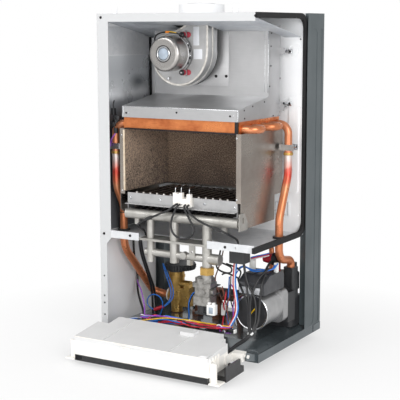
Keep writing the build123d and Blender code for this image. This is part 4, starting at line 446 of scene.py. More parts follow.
# Elastomers and fibres: dull and dark.
RUBBER = Finish("moulded_rubber_black", "1B1B1C", "242425", 0.0, 0.62, 0.08, 20, depth_mm=0.08, sheen=0.1)
FOAM = Finish(
    "closed_cell_foam_black", "161617", "222223", 0.0, 0.9, 0.05, 12, Grain.SPECKLE, 1.4, 0.35, 0.4
)
SILICONE_RED = Finish("silicone_rubber_red", "A83040", "8E2433", 0.0, 0.5, 0.06, 10, depth_mm=0.04)
FIBRE_BOARD = Finish(
    "ceramic_fibre_board_scorched", "3E3129", "A08A75", 0.0, 0.82, 0.1, 240, Grain.SPECKLE, 2.2, 0.5, 1.5,
    stretch=(1.0, 1.0, 0.8), sheen=0.2,
)
RAW_BOARD = Finish(
    "ceramic_fibre_board_edge", "D9CBB6", "BFA98C", 0.0, 0.85, 0.05, 10, Grain.FIBRE, 1.6, 0.3, 0.4
)
CERAMIC = Finish("sintered_alumina", "F3F0EB", "E6E1D8", 0.0, 0.55, 0.06, 12, depth_mm=0.05)
CIRCUIT = Finish("solder_masked_laminate", "1F6B3B", "185A30", 0.0, 0.35, 0.05, 8, depth_mm=0.05)
VESSEL_RED = Finish("painted_steel_red", "9C1F1B", "8A1915", 0.0, 0.35, 0.05, 80, depth_mm=0.03, coat=0.3)


class Wire(Enum):
    """The insulation of a wire: extruded PVC in one colour, or a sleeve."""

    BLACK = Finish("pvc_sleeve_black", "161618", "202022", 0.0, 0.45, 0.06, 8, depth_mm=0.05)
    LEAD = Finish("silicone_lead_black", "1A1A1C", "262628", 0.0, 0.55, 0.06, 8, depth_mm=0.05)
    BLUE = Finish("pvc_blue", "1E74D2", "1860B4", 0.0, 0.38, 0.05, 8, depth_mm=0.02)
    RED = Finish("pvc_red", "CE2436", "B01A2B", 0.0, 0.38, 0.05, 8, depth_mm=0.02)
    VIOLET = Finish("pvc_violet", "A055CC", "8A45B5", 0.0, 0.38, 0.05, 8, depth_mm=0.02)
    YELLOW = Finish("pvc_yellow", "F2C314", "DDAE0C", 0.0, 0.38, 0.05, 8, depth_mm=0.02)
    WHITE = Finish("pvc_white", "E9EAEC", "D6D8DB", 0.0, 0.38, 0.05, 8, depth_mm=0.02)
    BROWN = Finish("pvc_brown", "7A4231", "653427", 0.0, 0.38, 0.05, 8, depth_mm=0.02)
    ORANGE = Finish("pvc_orange", "EE8A14", "D9780C", 0.0, 0.38, 0.05, 8, depth_mm=0.02)


def facing(y: float, spots: Iterable[tuple[float, float]]) -> Spots:
    """Return places at one depth, from their X and Z, that all face the front."""
    return [((x, y, z), FRONT) for x, z in spots]


def washer(inner: float, outer: float, back: float, front: float) -> Profile:
    """Return the profile of a plain ring, or of a disc where the inner radius is 0."""
    return [(inner, back), (outer, back), (outer, front), (inner, front)]


def tilted(origin: Point, degrees: float) -> Matrix:
    """Return, in metres, a frame at a place in mm that is tilted about X."""
    return Matrix.Translation([c * MM for c in origin]) @ Matrix.Rotation(math.radians(degrees), 4, "X")


def smooth_curve(name: str, points: Iterable[Point], radius: float) -> bpy.types.Curve:
    """Make a round line on a smooth curve.

    Args:
        name: the curve's name.
        points: control points in mm.
        radius: radius in mm.

    Returns:
        A curve of one open spline, in metres.
    """
    curve = bpy.data.curves.new(name, "CURVE")
    curve.dimensions = "3D"
    curve.bevel_depth = radius * MM
    curve.bevel_resolution = LINE_ROUND
    curve.resolution_u = LINE_STEPS
    curve.use_fill_caps = True
    spline = curve.splines.new("NURBS")
    places = [(x * MM, y * MM, z * MM, 1.0) for x, y, z in points]
    spline.points.add(len(places) - 1)
    for point, place in zip(spline.points, places):
        point.co = place
    spline.order_u = 3
    spline.use_endpoint_u = True
    return curve


@cache
def material_of(finish: Finish | Wire) -> bpy.types.Material:
    """Return the finish's material, made once."""
    return (finish.value if isinstance(finish, Wire) else finish).build()


class SubAssembly:
    """Part of the boiler: the finishes of its solids, and the tools that make its fine pieces."""

    body: ClassVar[str] = "casing"
    finishes: ClassVar[dict[Finish, tuple[str, ...]]] = {}
    smooth_angle: ClassVar[float] = math.radians(38)
    screw_sides: ClassVar[int] = 16

    def place(self) -> Matrix:
        """Return where the sub-assembly's own frame lies in the row frame, in metres."""
        return Matrix.Identity(4)

    def pieces(self) -> None:
        """Make the fine pieces."""

    def build(self) -> None:
        """Give the solids their finishes and make the fine pieces."""
        for finish, nodes in self.finishes.items():
            for name in nodes:
                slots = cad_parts[name].data.materials
                slots.clear()
                slots.append(material_of(finish))
            LOG.info("dressed %s in %s", ", ".join(nodes), finish.name)
        self.pieces()

    def keep(self, name: str, data: bpy.types.ID, finish: Finish | Wire) -> Piece:
        """Turn a mesh or a curve into a piece that rides on the sub-assembly's body.

        Args:
            name: the piece's name.
            data: the mesh or curve, in metres.
            finish: its finish.

        Returns:
            The piece.
        """
        data.materials.append(material_of(finish))
        piece = new_object(name, data)
        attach(piece, self.body)
        LOG.info("made %s", name)
        return piece

    def shell(self, name: str, bm: bmesh.types.BMesh, finish: Finish, place: Matrix | None = None) -> Piece:
        """Turn a finished mesh in mm into a piece.

        Args:
            name: the piece's name.
            bm: the mesh, which is freed.
            finish: its finish.
            place: where the mesh's own frame lies, the sub-assembly's where none is given.

        Returns:
            The piece.
        """
        bm.transform(Matrix.Scale(MM, 4))
        bm.transform(self.place() if place is None else place)
        bmesh.ops.recalc_face_normals(bm, faces=bm.faces)
        mesh = bpy.data.meshes.new(name)
        bm.to_mesh(mesh)
        bm.free()
        mesh.polygons.foreach_set("use_smooth", [True] * len(mesh.polygons))
        mesh.set_sharp_from_angle(angle=self.smooth_angle)
        return self.keep(name, mesh, finish)

    def blocks(
        self, name: str, boxes: Boxes, finish: Finish, bevel: float = 0.6, place: Matrix | None = None,
    ) -> Piece:
        """Make rounded blocks as one piece.

        Args:
            name: the piece's name.
            boxes: lowest and highest corner of each, in mm.
            finish: the finish.
            bevel: radius of the edges in mm.
            place: where the corners' own frame lies, the sub-assembly's where none is given.

        Returns:
            The piece.
        """
        bm = bmesh.new()
        for low, high in boxes:
            size = [h - l for l, h in zip(low, high)]
            middle = [(h + l) / 2 for l, h in zip(low, high)]
            matrix = Matrix.Translation(middle) @ Matrix.Diagonal((*size, 1.0))
            made = bmesh.ops.create_cube(bm, size=1.0, matrix=matrix)
            edges = {edge for vert in made["verts"] for edge in vert.link_edges}
            radius = min(bevel, 0.3 * min(size))
            bmesh.ops.bevel(bm, geom=list(edges), offset=radius, segments=2, affect="EDGES", profile=0.5)
        return self.shell(name, bm, finish, place)

    def turned(self, name: str, profile: Profile, spots: Spots, finish: Finish, steps: int = 32) -> Piece:
        """Turn a profile about an axis, once for each spot, as one piece.

        Args:
            name: the piece's name.
            profile: radius and distance along the axis in mm, from the axis back to the axis or closed.
            spots: origin in mm and axis of each copy.
            finish: the finish.
            steps: sides of the round.

        Returns:
            The piece.
        """
        bm = bmesh.new()
        angles = [2 * math.pi * i / steps for i in range(steps)]
        for origin, axis in spots:
            matrix = Matrix.Translation(origin) @ aimed(axis, "Z")
            rings = []
            for radius, along in profile:
                around = angles if radius > 0 else [0.0]
                points = [(radius * math.cos(a), radius * math.sin(a), along) for a in around]
                rings.append([bm.verts.new(matrix @ Vector(point)) for point in points])
            if len(rings[0]) > 1:
                rings.append(rings[0])
            for first, second in zip(rings, rings[1:]):
                a, b = len(first), len(second)
                for i in range(steps):
                    j = (i + 1) % steps
                    corners = dict.fromkeys((first[i % a], first[j % a], second[j % b], second[i % b]))
                    if len(corners) > 2:
                        bm.faces.new(list(corners))
        return self.shell(name, bm, finish)

    def screws(self, name: str, spots: Spots, radius: float = 3.0, finish: Finish = BRIGHT_ZINC) -> Piece:
        """Make pan-head screws, each with its driver's recess.

        Args:
            name: the piece's name.
            spots: where each head sits in mm, and which way it faces.
            radius: the heads' radius in mm.
            finish: the finish.

        Returns:
            The piece.
        """
        tall = 0.7 * radius
        shares = [(1.0, 0.4), (0.85, 0.8), (0.5, 1.0), (0.42, 0.95), (0.3, 0.35), (0, 0.3)]
        profile = [(0, -0.3), (radius, -0.3)] + [(r * radius, z * tall) for r, z in shares]
        return self.turned(name, profile, spots, finish, self.screw_sides)

    def line(self, name: str, points: Iterable[Point], radius: float, finish: Finish | Wire) -> Piece:
        """Make a round wire, cable, seam or thin pipe on a smooth curve.

        Args:
            name: the piece's name.
            points: control points in mm.
            radius: radius in mm.
            finish: the finish.

        Returns:
            The piece, a curve of one open spline.
        """
        return self.keep(name, smooth_curve(name, points, radius), finish)


@dataclass
class Chassis(SubAssembly):
    """Sheet metal of the boiler: sealed chamber, casing, frame, tray, gasket and flue collar."""

    front: float = -315.0
    wall_x: float = -203.8
    sheet: float = 0.9
    liner_front: float = -284.0
    liner_rear: float = -107.0
    liner_low: float = 247.0
    liner_top: float = 646.0
    panel_top: float = 712.0
    ceiling_z: float = 729.0
    ceiling_slope: float = 10.76
    flange_x: float = 193.8
    top_screw_z: float = 731.5
    bar_z: float = 244.7
    hole_x: float = -195.0
    low_holes: tuple[float, ...] = (54.3, 82.1, 99.1, 145.9)
    back_y: float = -87.4
    frame_x: Span = (125.5, 164.5)
    frame_z: Span = (280.0, 316.0)
    clip_levels: tuple[float, ...] = (656.0, 540.0)
    finishes: ClassVar = {
        PALE_PANEL: ("chamber_shell", "casing_left", "flue_collar"),
        CHAMBER_ZINC: ("chamber_floor",),
        FRAME_SLATE: ("rear_frame_left", "rear_frame_right", "wall_bars"),
        TRAY_SLATE: ("base_tray",),
        FOAM: ("side_gasket",),
        RUBBER: ("pipe_grommets",),
        VESSEL_RED: ("expansion_vessel",),
    }

    def liner(self) -> None:
        """Make the bare zinc sheets on the chamber's left wall, the seal and post in its corner."""
        x, low, front, rear = self.wall_x, self.liner_low, self.liner_front, self.liner_rear
        lower = ((x, front, low), (x + self.sheet, rear, self.liner_top))
        upper = ((x, front, self.liner_top + 1.2), (x + self.sheet, rear, self.panel_top))
        self.blocks("chamber_liner_left", [lower], CLOUDED_ZINC, 0.3)
        self.blocks("chamber_upper_panel_left", [upper], CHAMBER_ZINC, 0.3)
        self.blocks("chamber_seal_left", [((x + 0.2, -106, low), (x + 3, -99.5, 687))], FOAM)
        self.blocks("chamber_corner_post", [((x + 0.5, -98, low), (x + 17, -88, 686))], PALE_PANEL)

    def ceiling(self) -> None:
        """Make the sheet that slopes down to the rear under the roof, round the fan's outlet."""
        areas = [
            (-203, 4, -151, 226), (151, 4, 192, 226), (-151, 4, 151, 80), (34, 80, 151, 149),
            (-151, 80, -60, 149),
        ]
        sheets = [((x0, s0, 0), (x1, s1, 1)) for x0, s0, x1, s1 in areas]
        place = tilted((0, self.front, self.ceiling_z), -self.ceiling_slope)
        # The ceiling's darker zinc is painted shade.
        self.blocks("chamber_ceiling", sheets, SHADED_CEILING_ZINC, 0.2, place)

    def fixings(self) -> None:
        """Make the screws of the front flange and the dark plugs of its low holes."""
        x, top, low = self.flange_x, self.top_screw_z, self.bar_z
        spots = [(-x, top), (x, top + 1), (-x, low), (-122.0, 246.3), (123.1, 244.8), (x, low)]
        self.screws("flange_screws", facing(self.front, spots), 3.0, BURNER_STEEL)
        profile = [(0, -0.2), (1.9, -0.2), (1.9, 0.3), (1.5, 0.5), (0, 0.5)]
        holes = facing(self.front, [(self.hole_x, z) for z in self.low_holes])
        self.turned("flange_plugs", profile, holes, ABS_BLACK)

    def back_wall(self) -> None:
        """Make the zinc frame low on the back wall, and the two clips high on it."""
        y, (left, right), (low, high) = self.back_y, self.frame_x, self.frame_z
        bars = [(left, low, right, low + 4), (left, high - 4, right, high),
                (left, low, left + 4, high), (right - 4, low, right, high)]
        self.blocks("back_wall_frame", [((a, y - 2, b), (c, y, d)) for a, b, c, d in bars], BRIGHT_ZINC)
        levels = self.clip_levels
        clips = [((162, y - 12, z - 5.5), (172, y - 9, z + 5.5)) for z in levels]
        clips += [((150, y - 10, z - 2.5), (163, y - 8.6, z + 2.5)) for z in levels]
        clips += [((165, y - 9, z - 3), (169, y, z + 3)) for z in levels]
        self.blocks("wall_clips", clips, BRIGHT_ZINC)
        self.screws("wall_clip_screws", facing(y - 12, [(167.5, z) for z in levels]), 3.0, BURNER_STEEL)

    def pieces(self) -> None:
        """Make the fine pieces."""
        self.liner()
        self.ceiling()
        self.fixings()
        self.back_wall()


@dataclass
class FanUnit(SubAssembly):
    """Exhaust fan on its scroll, with its motor hung on three rubber grommets."""

    x: float = -55.0
    z: float = 652.0
    ring_front: float = -230.0
    motor_front: float = -276.0
    motor_r: float = 39.0
    motor_steps: int = 48
    scroll_start_r: float = 48.0
    scroll_end_r: float = 84.0
    scroll_low: float = 684.0
    outlet_top: float = 714.0
    scroll_front: float = -225.0
    lobe_circle: float = 48.0
    lobe_angles: tuple[float, ...] = (60.0, -60.0, 180.0)
    clip_circle: float = 41.5
    clip_angles: tuple[float, ...] = (8.0, -12.0, -30.0, 28.0)
    plate_y: float = -165.0
    finishes: ClassVar = {
        DIE_CAST: ("fan_scroll", "fan_mount_ring"),
        SPUN_STEEL: ("fan_motor",),
        SILICONE_RED: ("fan_grommets",),
        BRIGHT_ZINC: ("fan_impeller",),
    }

    def at(self, radius: float, degrees: float, y: float) -> Point:
        """Return a place round the fan's axis, by its angle from +X towards +Z."""
        turn = math.radians(degrees)
        return (self.x + radius * math.cos(turn), y, self.z + radius * math.sin(turn))

    def motor(self) -> None:
        """Make the bearing's bare disc, the boss round it and the rolled seam of the can."""
        axis = [((self.x, self.motor_front, self.z), FRONT)]
        disc = [(0, -1.4), (12.6, -1.4), (12.6, 0.4), (12.2, 0.7), (0, 0.7)]
        boss = [(13.6, -1.6), (16.8, -1.6), (17.0, 1.0), (16.2, 1.8), (14.4, 1.8), (13.6, 1.1)]
        self.turned("motor_disc", disc, axis, DIAL_DISC, self.motor_steps)
        self.turned("motor_boss", boss, axis, BRIGHT_ZINC, self.motor_steps)
        self.turned("motor_bearing_gap", washer(12.7, 13.5, -1.4, 0.2), axis, COMPOSITE, self.motor_steps)
        self.turned("motor_bearing_ring", washer(17.2, 19.0, -0.6, 0.3), axis, BURNER_STEEL, self.motor_steps)
        inner, outer = self.motor_r - 0.4, self.motor_r + 1.8
        seam = [(inner, -44), (outer, -44), (outer, -41.5), (inner, -40.5)]
        self.turned("motor_seam", seam, axis, DIE_CAST, 64)

    def fixings(self) -> None:
        """Make the grommets' screws and feet, the small screws of the ring and the rim clips."""
        lobes = [self.at(self.lobe_circle, a, self.ring_front - 6.5) for a in self.lobe_angles]
        self.screws("fan_screws", [(spot, FRONT) for spot in lobes], 6.4, GLOSS_BLACK)
        tip = [(0, -0.5), (2.4, -0.5), (2.2, 0.6), (0, 0.8)]
        tips = [((x, y - 3.6, z), FRONT) for x, y, z in lobes]
        self.turned("fan_screw_tips", tip, tips, BRIGHT_ZINC, self.screw_sides)
        pad = [(0, -0.3), (6.2, -0.3), (6.2, 1.6), (5.4, 2.2), (0, 2.2)]
        feet = facing(self.scroll_front - 0.1, [(x + 10, z) for x, _, z in lobes[:2]])
        self.turned("fan_grommet_feet", pad, feet, SILICONE_RED, 24)
        small = [(-20.7, 674.3), (-70.9, 596.4), (-14.8, 648.1)]
        self.screws("ring_screws", facing(self.ring_front, small), 3.2)
        rim = [self.at(self.clip_circle, a, self.ring_front) for a in self.clip_angles]
        clips = [((x - 2, y - 1.6, z - 3), (x + 2, y, z + 3)) for x, y, z in rim]
        self.blocks("ring_clips", clips, COMPOSITE, 0.4)

    def scroll_details(self) -> None:
        """Make the two bare labels, painted highlights on the scroll's front edge and middle bead, and
        painted shade behind it.
        """
        y = self.scroll_front
        areas = [(-8.5, 670, 6.3, 711), (-7.7, 640, 14.2, 662)]
        labels = [((x0, y - 0.35, z0), (x1, y + 0.05, z1)) for x0, z0, x1, z1 in areas]
        self.blocks("scroll_labels", labels, LABEL, 0.1)
        # Pale lines of painted highlight on the scroll's rounded front edge and on its middle bead.
        self.line("scroll_front_edge_highlight", self.outline(y - 0.2, -2.0), 2.6, PALE_STEEL_AND_HIGHLIGHT)
        self.line("scroll_middle_bead_highlight", self.outline(y + 20.0, 0.2), 1.2, PALE_STEEL_AND_HIGHLIGHT)
        # Black line of painted shade in the gap between the scroll's rear edge and the plate.
        self.line("scroll_rear_gap_shade", self.outline(y + 43.0, 0.6), 1.1, RUBBER)

    def outline(self, y: float, grow: float) -> list[Point]:
        """Return points along the scroll's edge, from its outlet's right side round to the left.

        Args:
            y: depth in mm.
            grow: distance outside the edge in mm.

        Returns:
            The points in mm.
        """
        right = self.x + self.scroll_end_r + grow
        points = [(right, y, self.outlet_top), (right, y, self.scroll_low)]
        for step in range(19):
            turn = 270.0 - step * 15.0
            radius = self.scroll_start_r + (self.scroll_end_r - self.scroll_start_r) * turn / 270 + grow
            points.append(self.at(radius, turn + 90.0, y))
        return points + [(-right, y, self.outlet_top)]

    def plate(self) -> None:
        """Make the plate behind the scroll, on the collector's front, with its screws."""
        y = self.plate_y
        self.blocks("fan_plate", [((-108, y - 1.2, 579), (48, y - 0.1, 713))], ALUMINISED, 0.4)
        spots = [(43.6, 705.4), (42.3, 601.1), (15.9, 600.6)]
        self.screws("fan_plate_screws", facing(y - 1.2, spots), 3.4, BURNER_STEEL)

    def cable(self) -> None:
        """Make the motor's sleeved cable over its top, with the two coloured wires that leave it."""
        self.line("motor_cable", [
            (-103, -228, 668), (-100, -243, 681), (-90, -251, 692.5), (-76, -254, 698), (-60, -253, 699.5),
            (-44, -250, 698.5), (-30, -243, 694), (-24, -232, 688),
        ], 2.0, Wire.BLACK)
        band = [(-62.5, -253.3, 699.4), (-58, -253, 699.6), (-54, -252.4, 699.4)]
        self.line("motor_cable_band", band, 2.5, Wire.ORANGE)
        yellow = [(-54, -253, 700.2), (-47, -252, 700), (-38, -248.5, 697.5)]
        self.line("motor_wire_yellow", yellow, 1.0, Wire.YELLOW)

    def pieces(self) -> None:
        """Make the fine pieces."""
        self.motor()
        self.fixings()
        self.scroll_details()
        self.plate()
        self.cable()


@dataclass
class HeatCell(SubAssembly):
    """Fume hood, copper heat exchanger, combustion box, its insulation and the burner."""

    hood_half: float = 148.0
    front: float = -303.0
    lip_low: float = 513.0
    lip_top: float = 537.0
    bar_front: float = -293.0
    bar_half: float = 3.1
    bar_pitch: float = 18.0
    bar_count: int = 14
    bar_top: float = 340.4
    port_pitch: float = 6.0
    port_count: int = 26
    block_x: Span = (-15.0, 33.0)
    fin_reach: float = 139.0
    fin_count: int = 58
    finishes: ClassVar = {
        ALUMINISED: ("fume_hood",),
        COPPER_SHEET: ("heat_exchanger",),
        COPPER: ("return_bends",),
        WARM_STEEL: ("combustion_casing",),
        FIBRE_BOARD: ("insulation_boards",),
        BURNER_STEEL: ("burner_bars",),
        DIE_CAST: ("burner_frame",),
        CERAMIC: ("electrode_block",),
        BRIGHT_ZINC: ("electrode_pins",),
    }

    def rivets(self) -> None:
        """Make the hood's side rivets and the screws of its lip, the posts and the burner plate."""
        side = [
            (-152.7, 696.4), (-154.8, 668.1), (-154.8, 625.6), (-109.2, 596.5), (-159.8, 580.8),
            (-184.5, 548.1), (-239.2, 541.6), (-277.5, 535.2), (-141.9, 515), (-275.5, 518.1),
        ]
        dome = [(0, -0.3), (1.9, -0.3), (1.8, 0.5), (1.1, 1.0), (0, 1.1)]
        spots = [((self.hood_half, y, z), RIGHT) for y, z in side]
        self.turned("hood_rivets", dome, spots, BURNER_STEEL, self.screw_sides)
        lip = [(-136.8, 521.6), (-4.6, 526.8), (128, 524)]
        self.screws("hood_lip_screws", facing(self.front, lip), 2.2, BURNER_STEEL)
        self.screws("hood_lip_rivets", facing(self.front, [(-129.9, 521.3), (135.3, 524.3)]), 1.8)
        posts = [(144.7, 478.1), (144.7, 346.9), (-149.5, 471.3), (-149.5, 345.9)]
        self.screws("post_screws", facing(self.front, posts), 2.2)
        plate = [(-127.8, 330.9), (-49, 331.8), (65.3, 331.7), (140, 329)]
        self.screws("burner_plate_screws", facing(self.front + 1, plate), 3.6)

    def lip(self) -> None:
        """Make bright zinc strips that paint the highlights on the folded edges of the hood's lip and of its
        right front corner.
        """
        y, half, low, top = self.front, self.hood_half, self.lip_low, self.lip_top
        # Bright zinc strips along the folds, as painted highlights.
        self.blocks("hood_edge_highlights", [
            ((-half, y - 0.5, top - 2.2), (half, y + 1.2, top)),
            ((-half, y - 0.6, low), (4 - half, y + 1.2, top - 1)),
            ((half - 4, y - 0.6, low), (half, y + 1.2, top - 1)),
            ((138, -166.6, 567), (140, -165, 712)),
            ((145.6, -166.6, 567), (half, -165, 712)),
        ], BRIGHT_ZINC)

    def board_edge(self) -> None:
        """Make a dark strip of painted shadow under the exchanger's lower edge, its dark end plate and the
        pale raw edge of the fibre board.
        """
        y = self.front
        # The first strip is painted shadow under the exchanger's lower edge; the second is its dark end
        # plate.
        dark = [((-142, y + 0.4, 485.2), (146, y + 3, 488.4)), ((139, y - 0.3, 488), (146.5, y + 2, 512))]
        self.blocks("exchanger_shadow_line_and_end_plate", dark, BURNER_STEEL, 0.3)
        self.blocks("board_edge_left", [((-146.5, y - 0.2, 347), (-142.6, y + 3, 484))], RAW_BOARD)

    def bars(self) -> None:
        """Make painted highlights on the bars' top edges, the welded tips at their front, and dark ports of
        painted shade.
        """
        first, y, z = -(self.bar_count - 1) / 2 * self.bar_pitch, self.bar_front, self.bar_top
        middles = [first + i * self.bar_pitch for i in range(self.bar_count)]
        edges = [
            ((x + side - 0.8, y + 2, z + 0.1), (x + side + 0.8, y + 160, z + 1.5))
            for x in middles for side in (-self.bar_half, self.bar_half)
        ]
        # Bright strips of painted highlight along each bar's top edges.
        self.blocks("burner_bar_edge_highlights", edges, WARM_STEEL, 0.1)
        tip = [(0, -0.5), (2.6, -0.5), (2.4, 1.2), (1.4, 2.4), (0, 2.8)]
        left, right = self.block_x
        tips = [((x, y, z + 2.0), (0.0, -0.7, 0.7)) for x in middles if not left < x < right]
        self.turned("burner_tips", tip, tips, PALE_STEEL_AND_HIGHLIGHT, self.screw_sides)
        ports = []
        for x in middles:
            for step in range(self.port_count):
                start = y + 5 + step * self.port_pitch
                ports.append(((x - 3.0, start, z + 0.2), (x + 3.0, start + 3.4, z + 0.9)))
        # Dark blocks of painted shade that stand for the open ports.
        self.blocks("burner_port_shade", ports, COMPOSITE, 0.15)

    def fins(self) -> None:
        """Make the fins' edges under the exchanger, seen through the open front."""
        pitch = 2 * self.fin_reach / (self.fin_count - 1)
        middles = [-self.fin_reach + i * pitch for i in range(self.fin_count)]
        fins = [((x - 0.25, -292, 486.2), (x + 0.25, -118, 487.4)) for x in middles]
        self.blocks("exchanger_fins", fins, COPPER, 0.05)

    def pieces(self) -> None:
        """Make the fine pieces."""
        self.rivets()
        self.lip()
        self.board_edge()
        self.bars()
        self.fins()
        self.screws("electrode_screw", [((11.5, -310, 327.5), FRONT)], 2.0)


@dataclass
class GasTrain(SubAssembly):
    """Gas rail, risers, union and gas valve."""

    valve_x: float = 62.0
    valve_y: float = -297.0
    finishes: ClassVar = {
        CAST_ALUMINIUM: ("gas_manifold", "gas_rail"),
        DARK_CASTING: ("gas_valve_body",),
        BRASS: ("gas_union_nut",),
        BURNER_STEEL: ("gas_nozzles",),
        ABS_BLACK: ("gas_valve_coil",),
        BRIGHT_ZINC: ("modulator_plunger",),
        COMPOSITE: ("ignition_transformer",),
    }

    def valve(self) -> None:
        """Make the valve's screws, test nipples, red seals, raised plates, painted shade in its gaps and
        recesses, and coil band.
        """
        x, y = self.valve_x, self.valve_y
        screws = [(x - 17, 153), (x + 17, 153), (x - 14, 116), (x + 15, 116), (x - 9, 163), (x + 11, 163)]
        self.screws("valve_screws", facing(y - 0.5, screws), 2.8)
        nipple = [(0, -0.5), (3.4, -0.5), (3.4, 3), (2.4, 3.6), (2.2, 8), (1.2, 8.6), (0, 8.6)]
        self.turned("test_nipples", nipple, facing(y + 2, [(x - 11, 140), (x + 13, 130)]), BRIGHT_ZINC, 20)
        seal = [(0, -0.3), (2.0, -0.3), (1.7, 0.7), (0, 0.8)]
        seals = [((x + 6, y, 153), FRONT), ((x + 5, y - 3.5, 138), FRONT)]
        self.turned("valve_seals", seal, seals, NYLON_RED, self.screw_sides)
        self.blocks("valve_ribs", [
            ((x - 22, y - 2.5, 156), (x + 22, y + 4, 158.5)),
            ((x - 20, y - 1.5, 126.5), (x + 20, y + 4, 129)),
            ((x + 8, y - 2, 131), (x + 18, y + 4, 146)),
            ((x - 18, y - 1.4, 131), (x - 12, y + 4, 148)),
            ((x - 6, y - 5, 171), (x + 4, y + 2, 181)),
        ], DIE_CAST, 0.8)
        # Dark bands and patches of painted shade in the valve's gaps and recesses.
        self.blocks("valve_gap_shade", [
            ((x - 23.6, y - 0.6, 147), (x + 23.6, y + 30, 149)),
            ((x - 22, y - 0.6, 127), (x + 22, y + 30, 129.4)),
            ((x - 11, y + 2.2, 132), (x + 7, y + 4, 145)),
            ((x - 16, y - 0.6, 108.5), (x + 18, y + 4, 113)),
        ], COMPOSITE, 0.3)
        self.turned("valve_coil_band", washer(0, 17, -5, 5), [((x + 2, y + 16, 103), UP)], GLOSS_BLACK)

    def pieces(self) -> None:
        """Make the fine pieces, with the white connector of the coil and its pale blue core."""
        self.valve()
        self.blocks("coil_connector", [
            ((78, -317, 90), (98, -303, 113)), ((80, -316, 113), (86, -308, 118)),
            ((90, -316, 113), (96, -308, 118)),
        ], NYLON_WHITE, 1.2)
        self.blocks("coil_connector_core", [((84, -317.8, 94), (94, -316.5, 108))], DIAL_DISC)


@dataclass
class Hydraulics(SubAssembly):
    """Copper pipes, diverter valve, pump, hydraulic block, vent and safety valve."""

    pump: Point = (157.0, -256.5, 92.0)
    disc_r: float = 36.5
    box_top: float = 172.0
    flow_x: float = 178.0
    return_x: float = -178.0
    joint_z: float = 430.0
    mark_levels: tuple[float, ...] = (288.0, 300.0)
    actuator: Span = (-107.0, -125.0)
    tooth_circle: float = 36.6
    tooth_count: int = 30
    finishes: ClassVar = {
        SOLDERED_COPPER: ("flow_pipe", "return_pipe"),
        AGED_SHADED_COPPER: ("connection_pipes",),
        BRIGHT_ZINC: ("pipe_clips", "pump_rotor"),
        BRASS: ("diverter_body", "diverter_spindle"),
        NYLON_RED: ("safety_valve",),
        COMPOSITE: ("diverter_actuator", "hydraulic_block", "pump_face"),
        GREY_NYLON: ("pump_terminal_box",),
        DIE_CAST: ("pump_motor",),
        ABS_BLACK: ("air_vent", "vent_cap", "safety_knob"),
        SPUN_STEEL: ("plate_exchanger",),
    }

    def pipe_fittings(self) -> None:
        """Make the rings of the joints on both heating pipes."""
        ring = [(8.4, -3), (10.6, -3), (11, -2.2), (11, 2.2), (10.6, 3), (8.4, 3)]
        joints = [(self.return_x, -285, self.joint_z), (self.flow_x, -125, self.joint_z)]
        self.turned("joint_rings_brass", ring, [(spot, UP) for spot in joints], BRASS)
        marks = [((self.return_x, -258, z), UP) for z in self.mark_levels]
        self.turned("pipe_marks", washer(8.3, 10.1, -1, 1), marks, BURNER_STEEL)

    def pump_face(self) -> None:
        """Make the rim round the pump's front disc and the plug in its middle."""
        r = self.disc_r
        rim = [(r, -1), (r + 3.9, -1), (r + 3.9, 0.4), (r + 2.8, 1.6), (r + 0.9, 1.6), (r, 0.9)]
        self.turned("pump_rim", rim, [(self.pump, FRONT)], BRIGHT_ZINC, 64)
        plug = [(0, -0.4), (7, -0.4), (7, 1.4), (6.2, 2.1), (3, 2.1), (2.6, 1.2), (0, 1.2)]
        self.turned("pump_plug", plug, [(self.pump, FRONT)], COMPOSITE)

    def terminal_box(self) -> None:
        """Make the bare labels, ribs, plugs and studs of the pump's terminal box."""
        y, top = self.pump[1], self.box_top
        labels = [((x0, y - 0.1, 133), (x1, y + 0.6, 148)) for x0, x1 in ((126, 156), (160, 177))]
        self.blocks("terminal_labels", labels, LABEL, 0.1)
        self.blocks("terminal_ribs", [
            ((128, -236, top - 0.2), (150, -200, top + 2.2)),
            ((154, -236, top - 0.2), (172, -208, top + 1.4)),
            ((176, -226, top - 0.2), (184, -184, top + 1.8)),
        ], ABS_BLACK)
        plugs = [((124, -206, top), (136, -196, 199)), ((180, -196, top), (188, -186, 194))]
        self.blocks("terminal_plugs", plugs, NYLON_WHITE, 1.0)
        stud = [(0, -0.4), (3.2, -0.4), (3.2, 2.4), (2.4, 3.2), (0, 3.4)]
        spots = [((x, sy, top), UP) for x, sy in ((131, -190), (150, -190), (176, -190), (181, -236))]
        self.turned("terminal_studs", stud, spots, ABS_BLACK, 20)

    def diverter(self) -> None:
        """Make the teeth round the diverter's actuator and the washer of its union."""
        (x, y), r = self.actuator, self.tooth_circle
        turns = [2 * math.pi * i / self.tooth_count for i in range(self.tooth_count)]
        middles = [(x + r * math.cos(turn), y + r * math.sin(turn)) for turn in turns]
        teeth = [((cx - 1.5, cy - 1.5, 139), (cx + 1.5, cy + 1.5, 147)) for cx, cy in middles]
        self.blocks("actuator_teeth", teeth, COMPOSITE, 0.4)
        self.turned("union_washer", washer(12, 16.5, -1.5, 1.5), [((-136.6, y, 69), RIGHT)], NYLON_WHITE)

    def pieces(self) -> None:
        """Make the fine pieces."""
        self.pipe_fittings()
        self.pump_face()
        self.terminal_box()
        self.diverter()


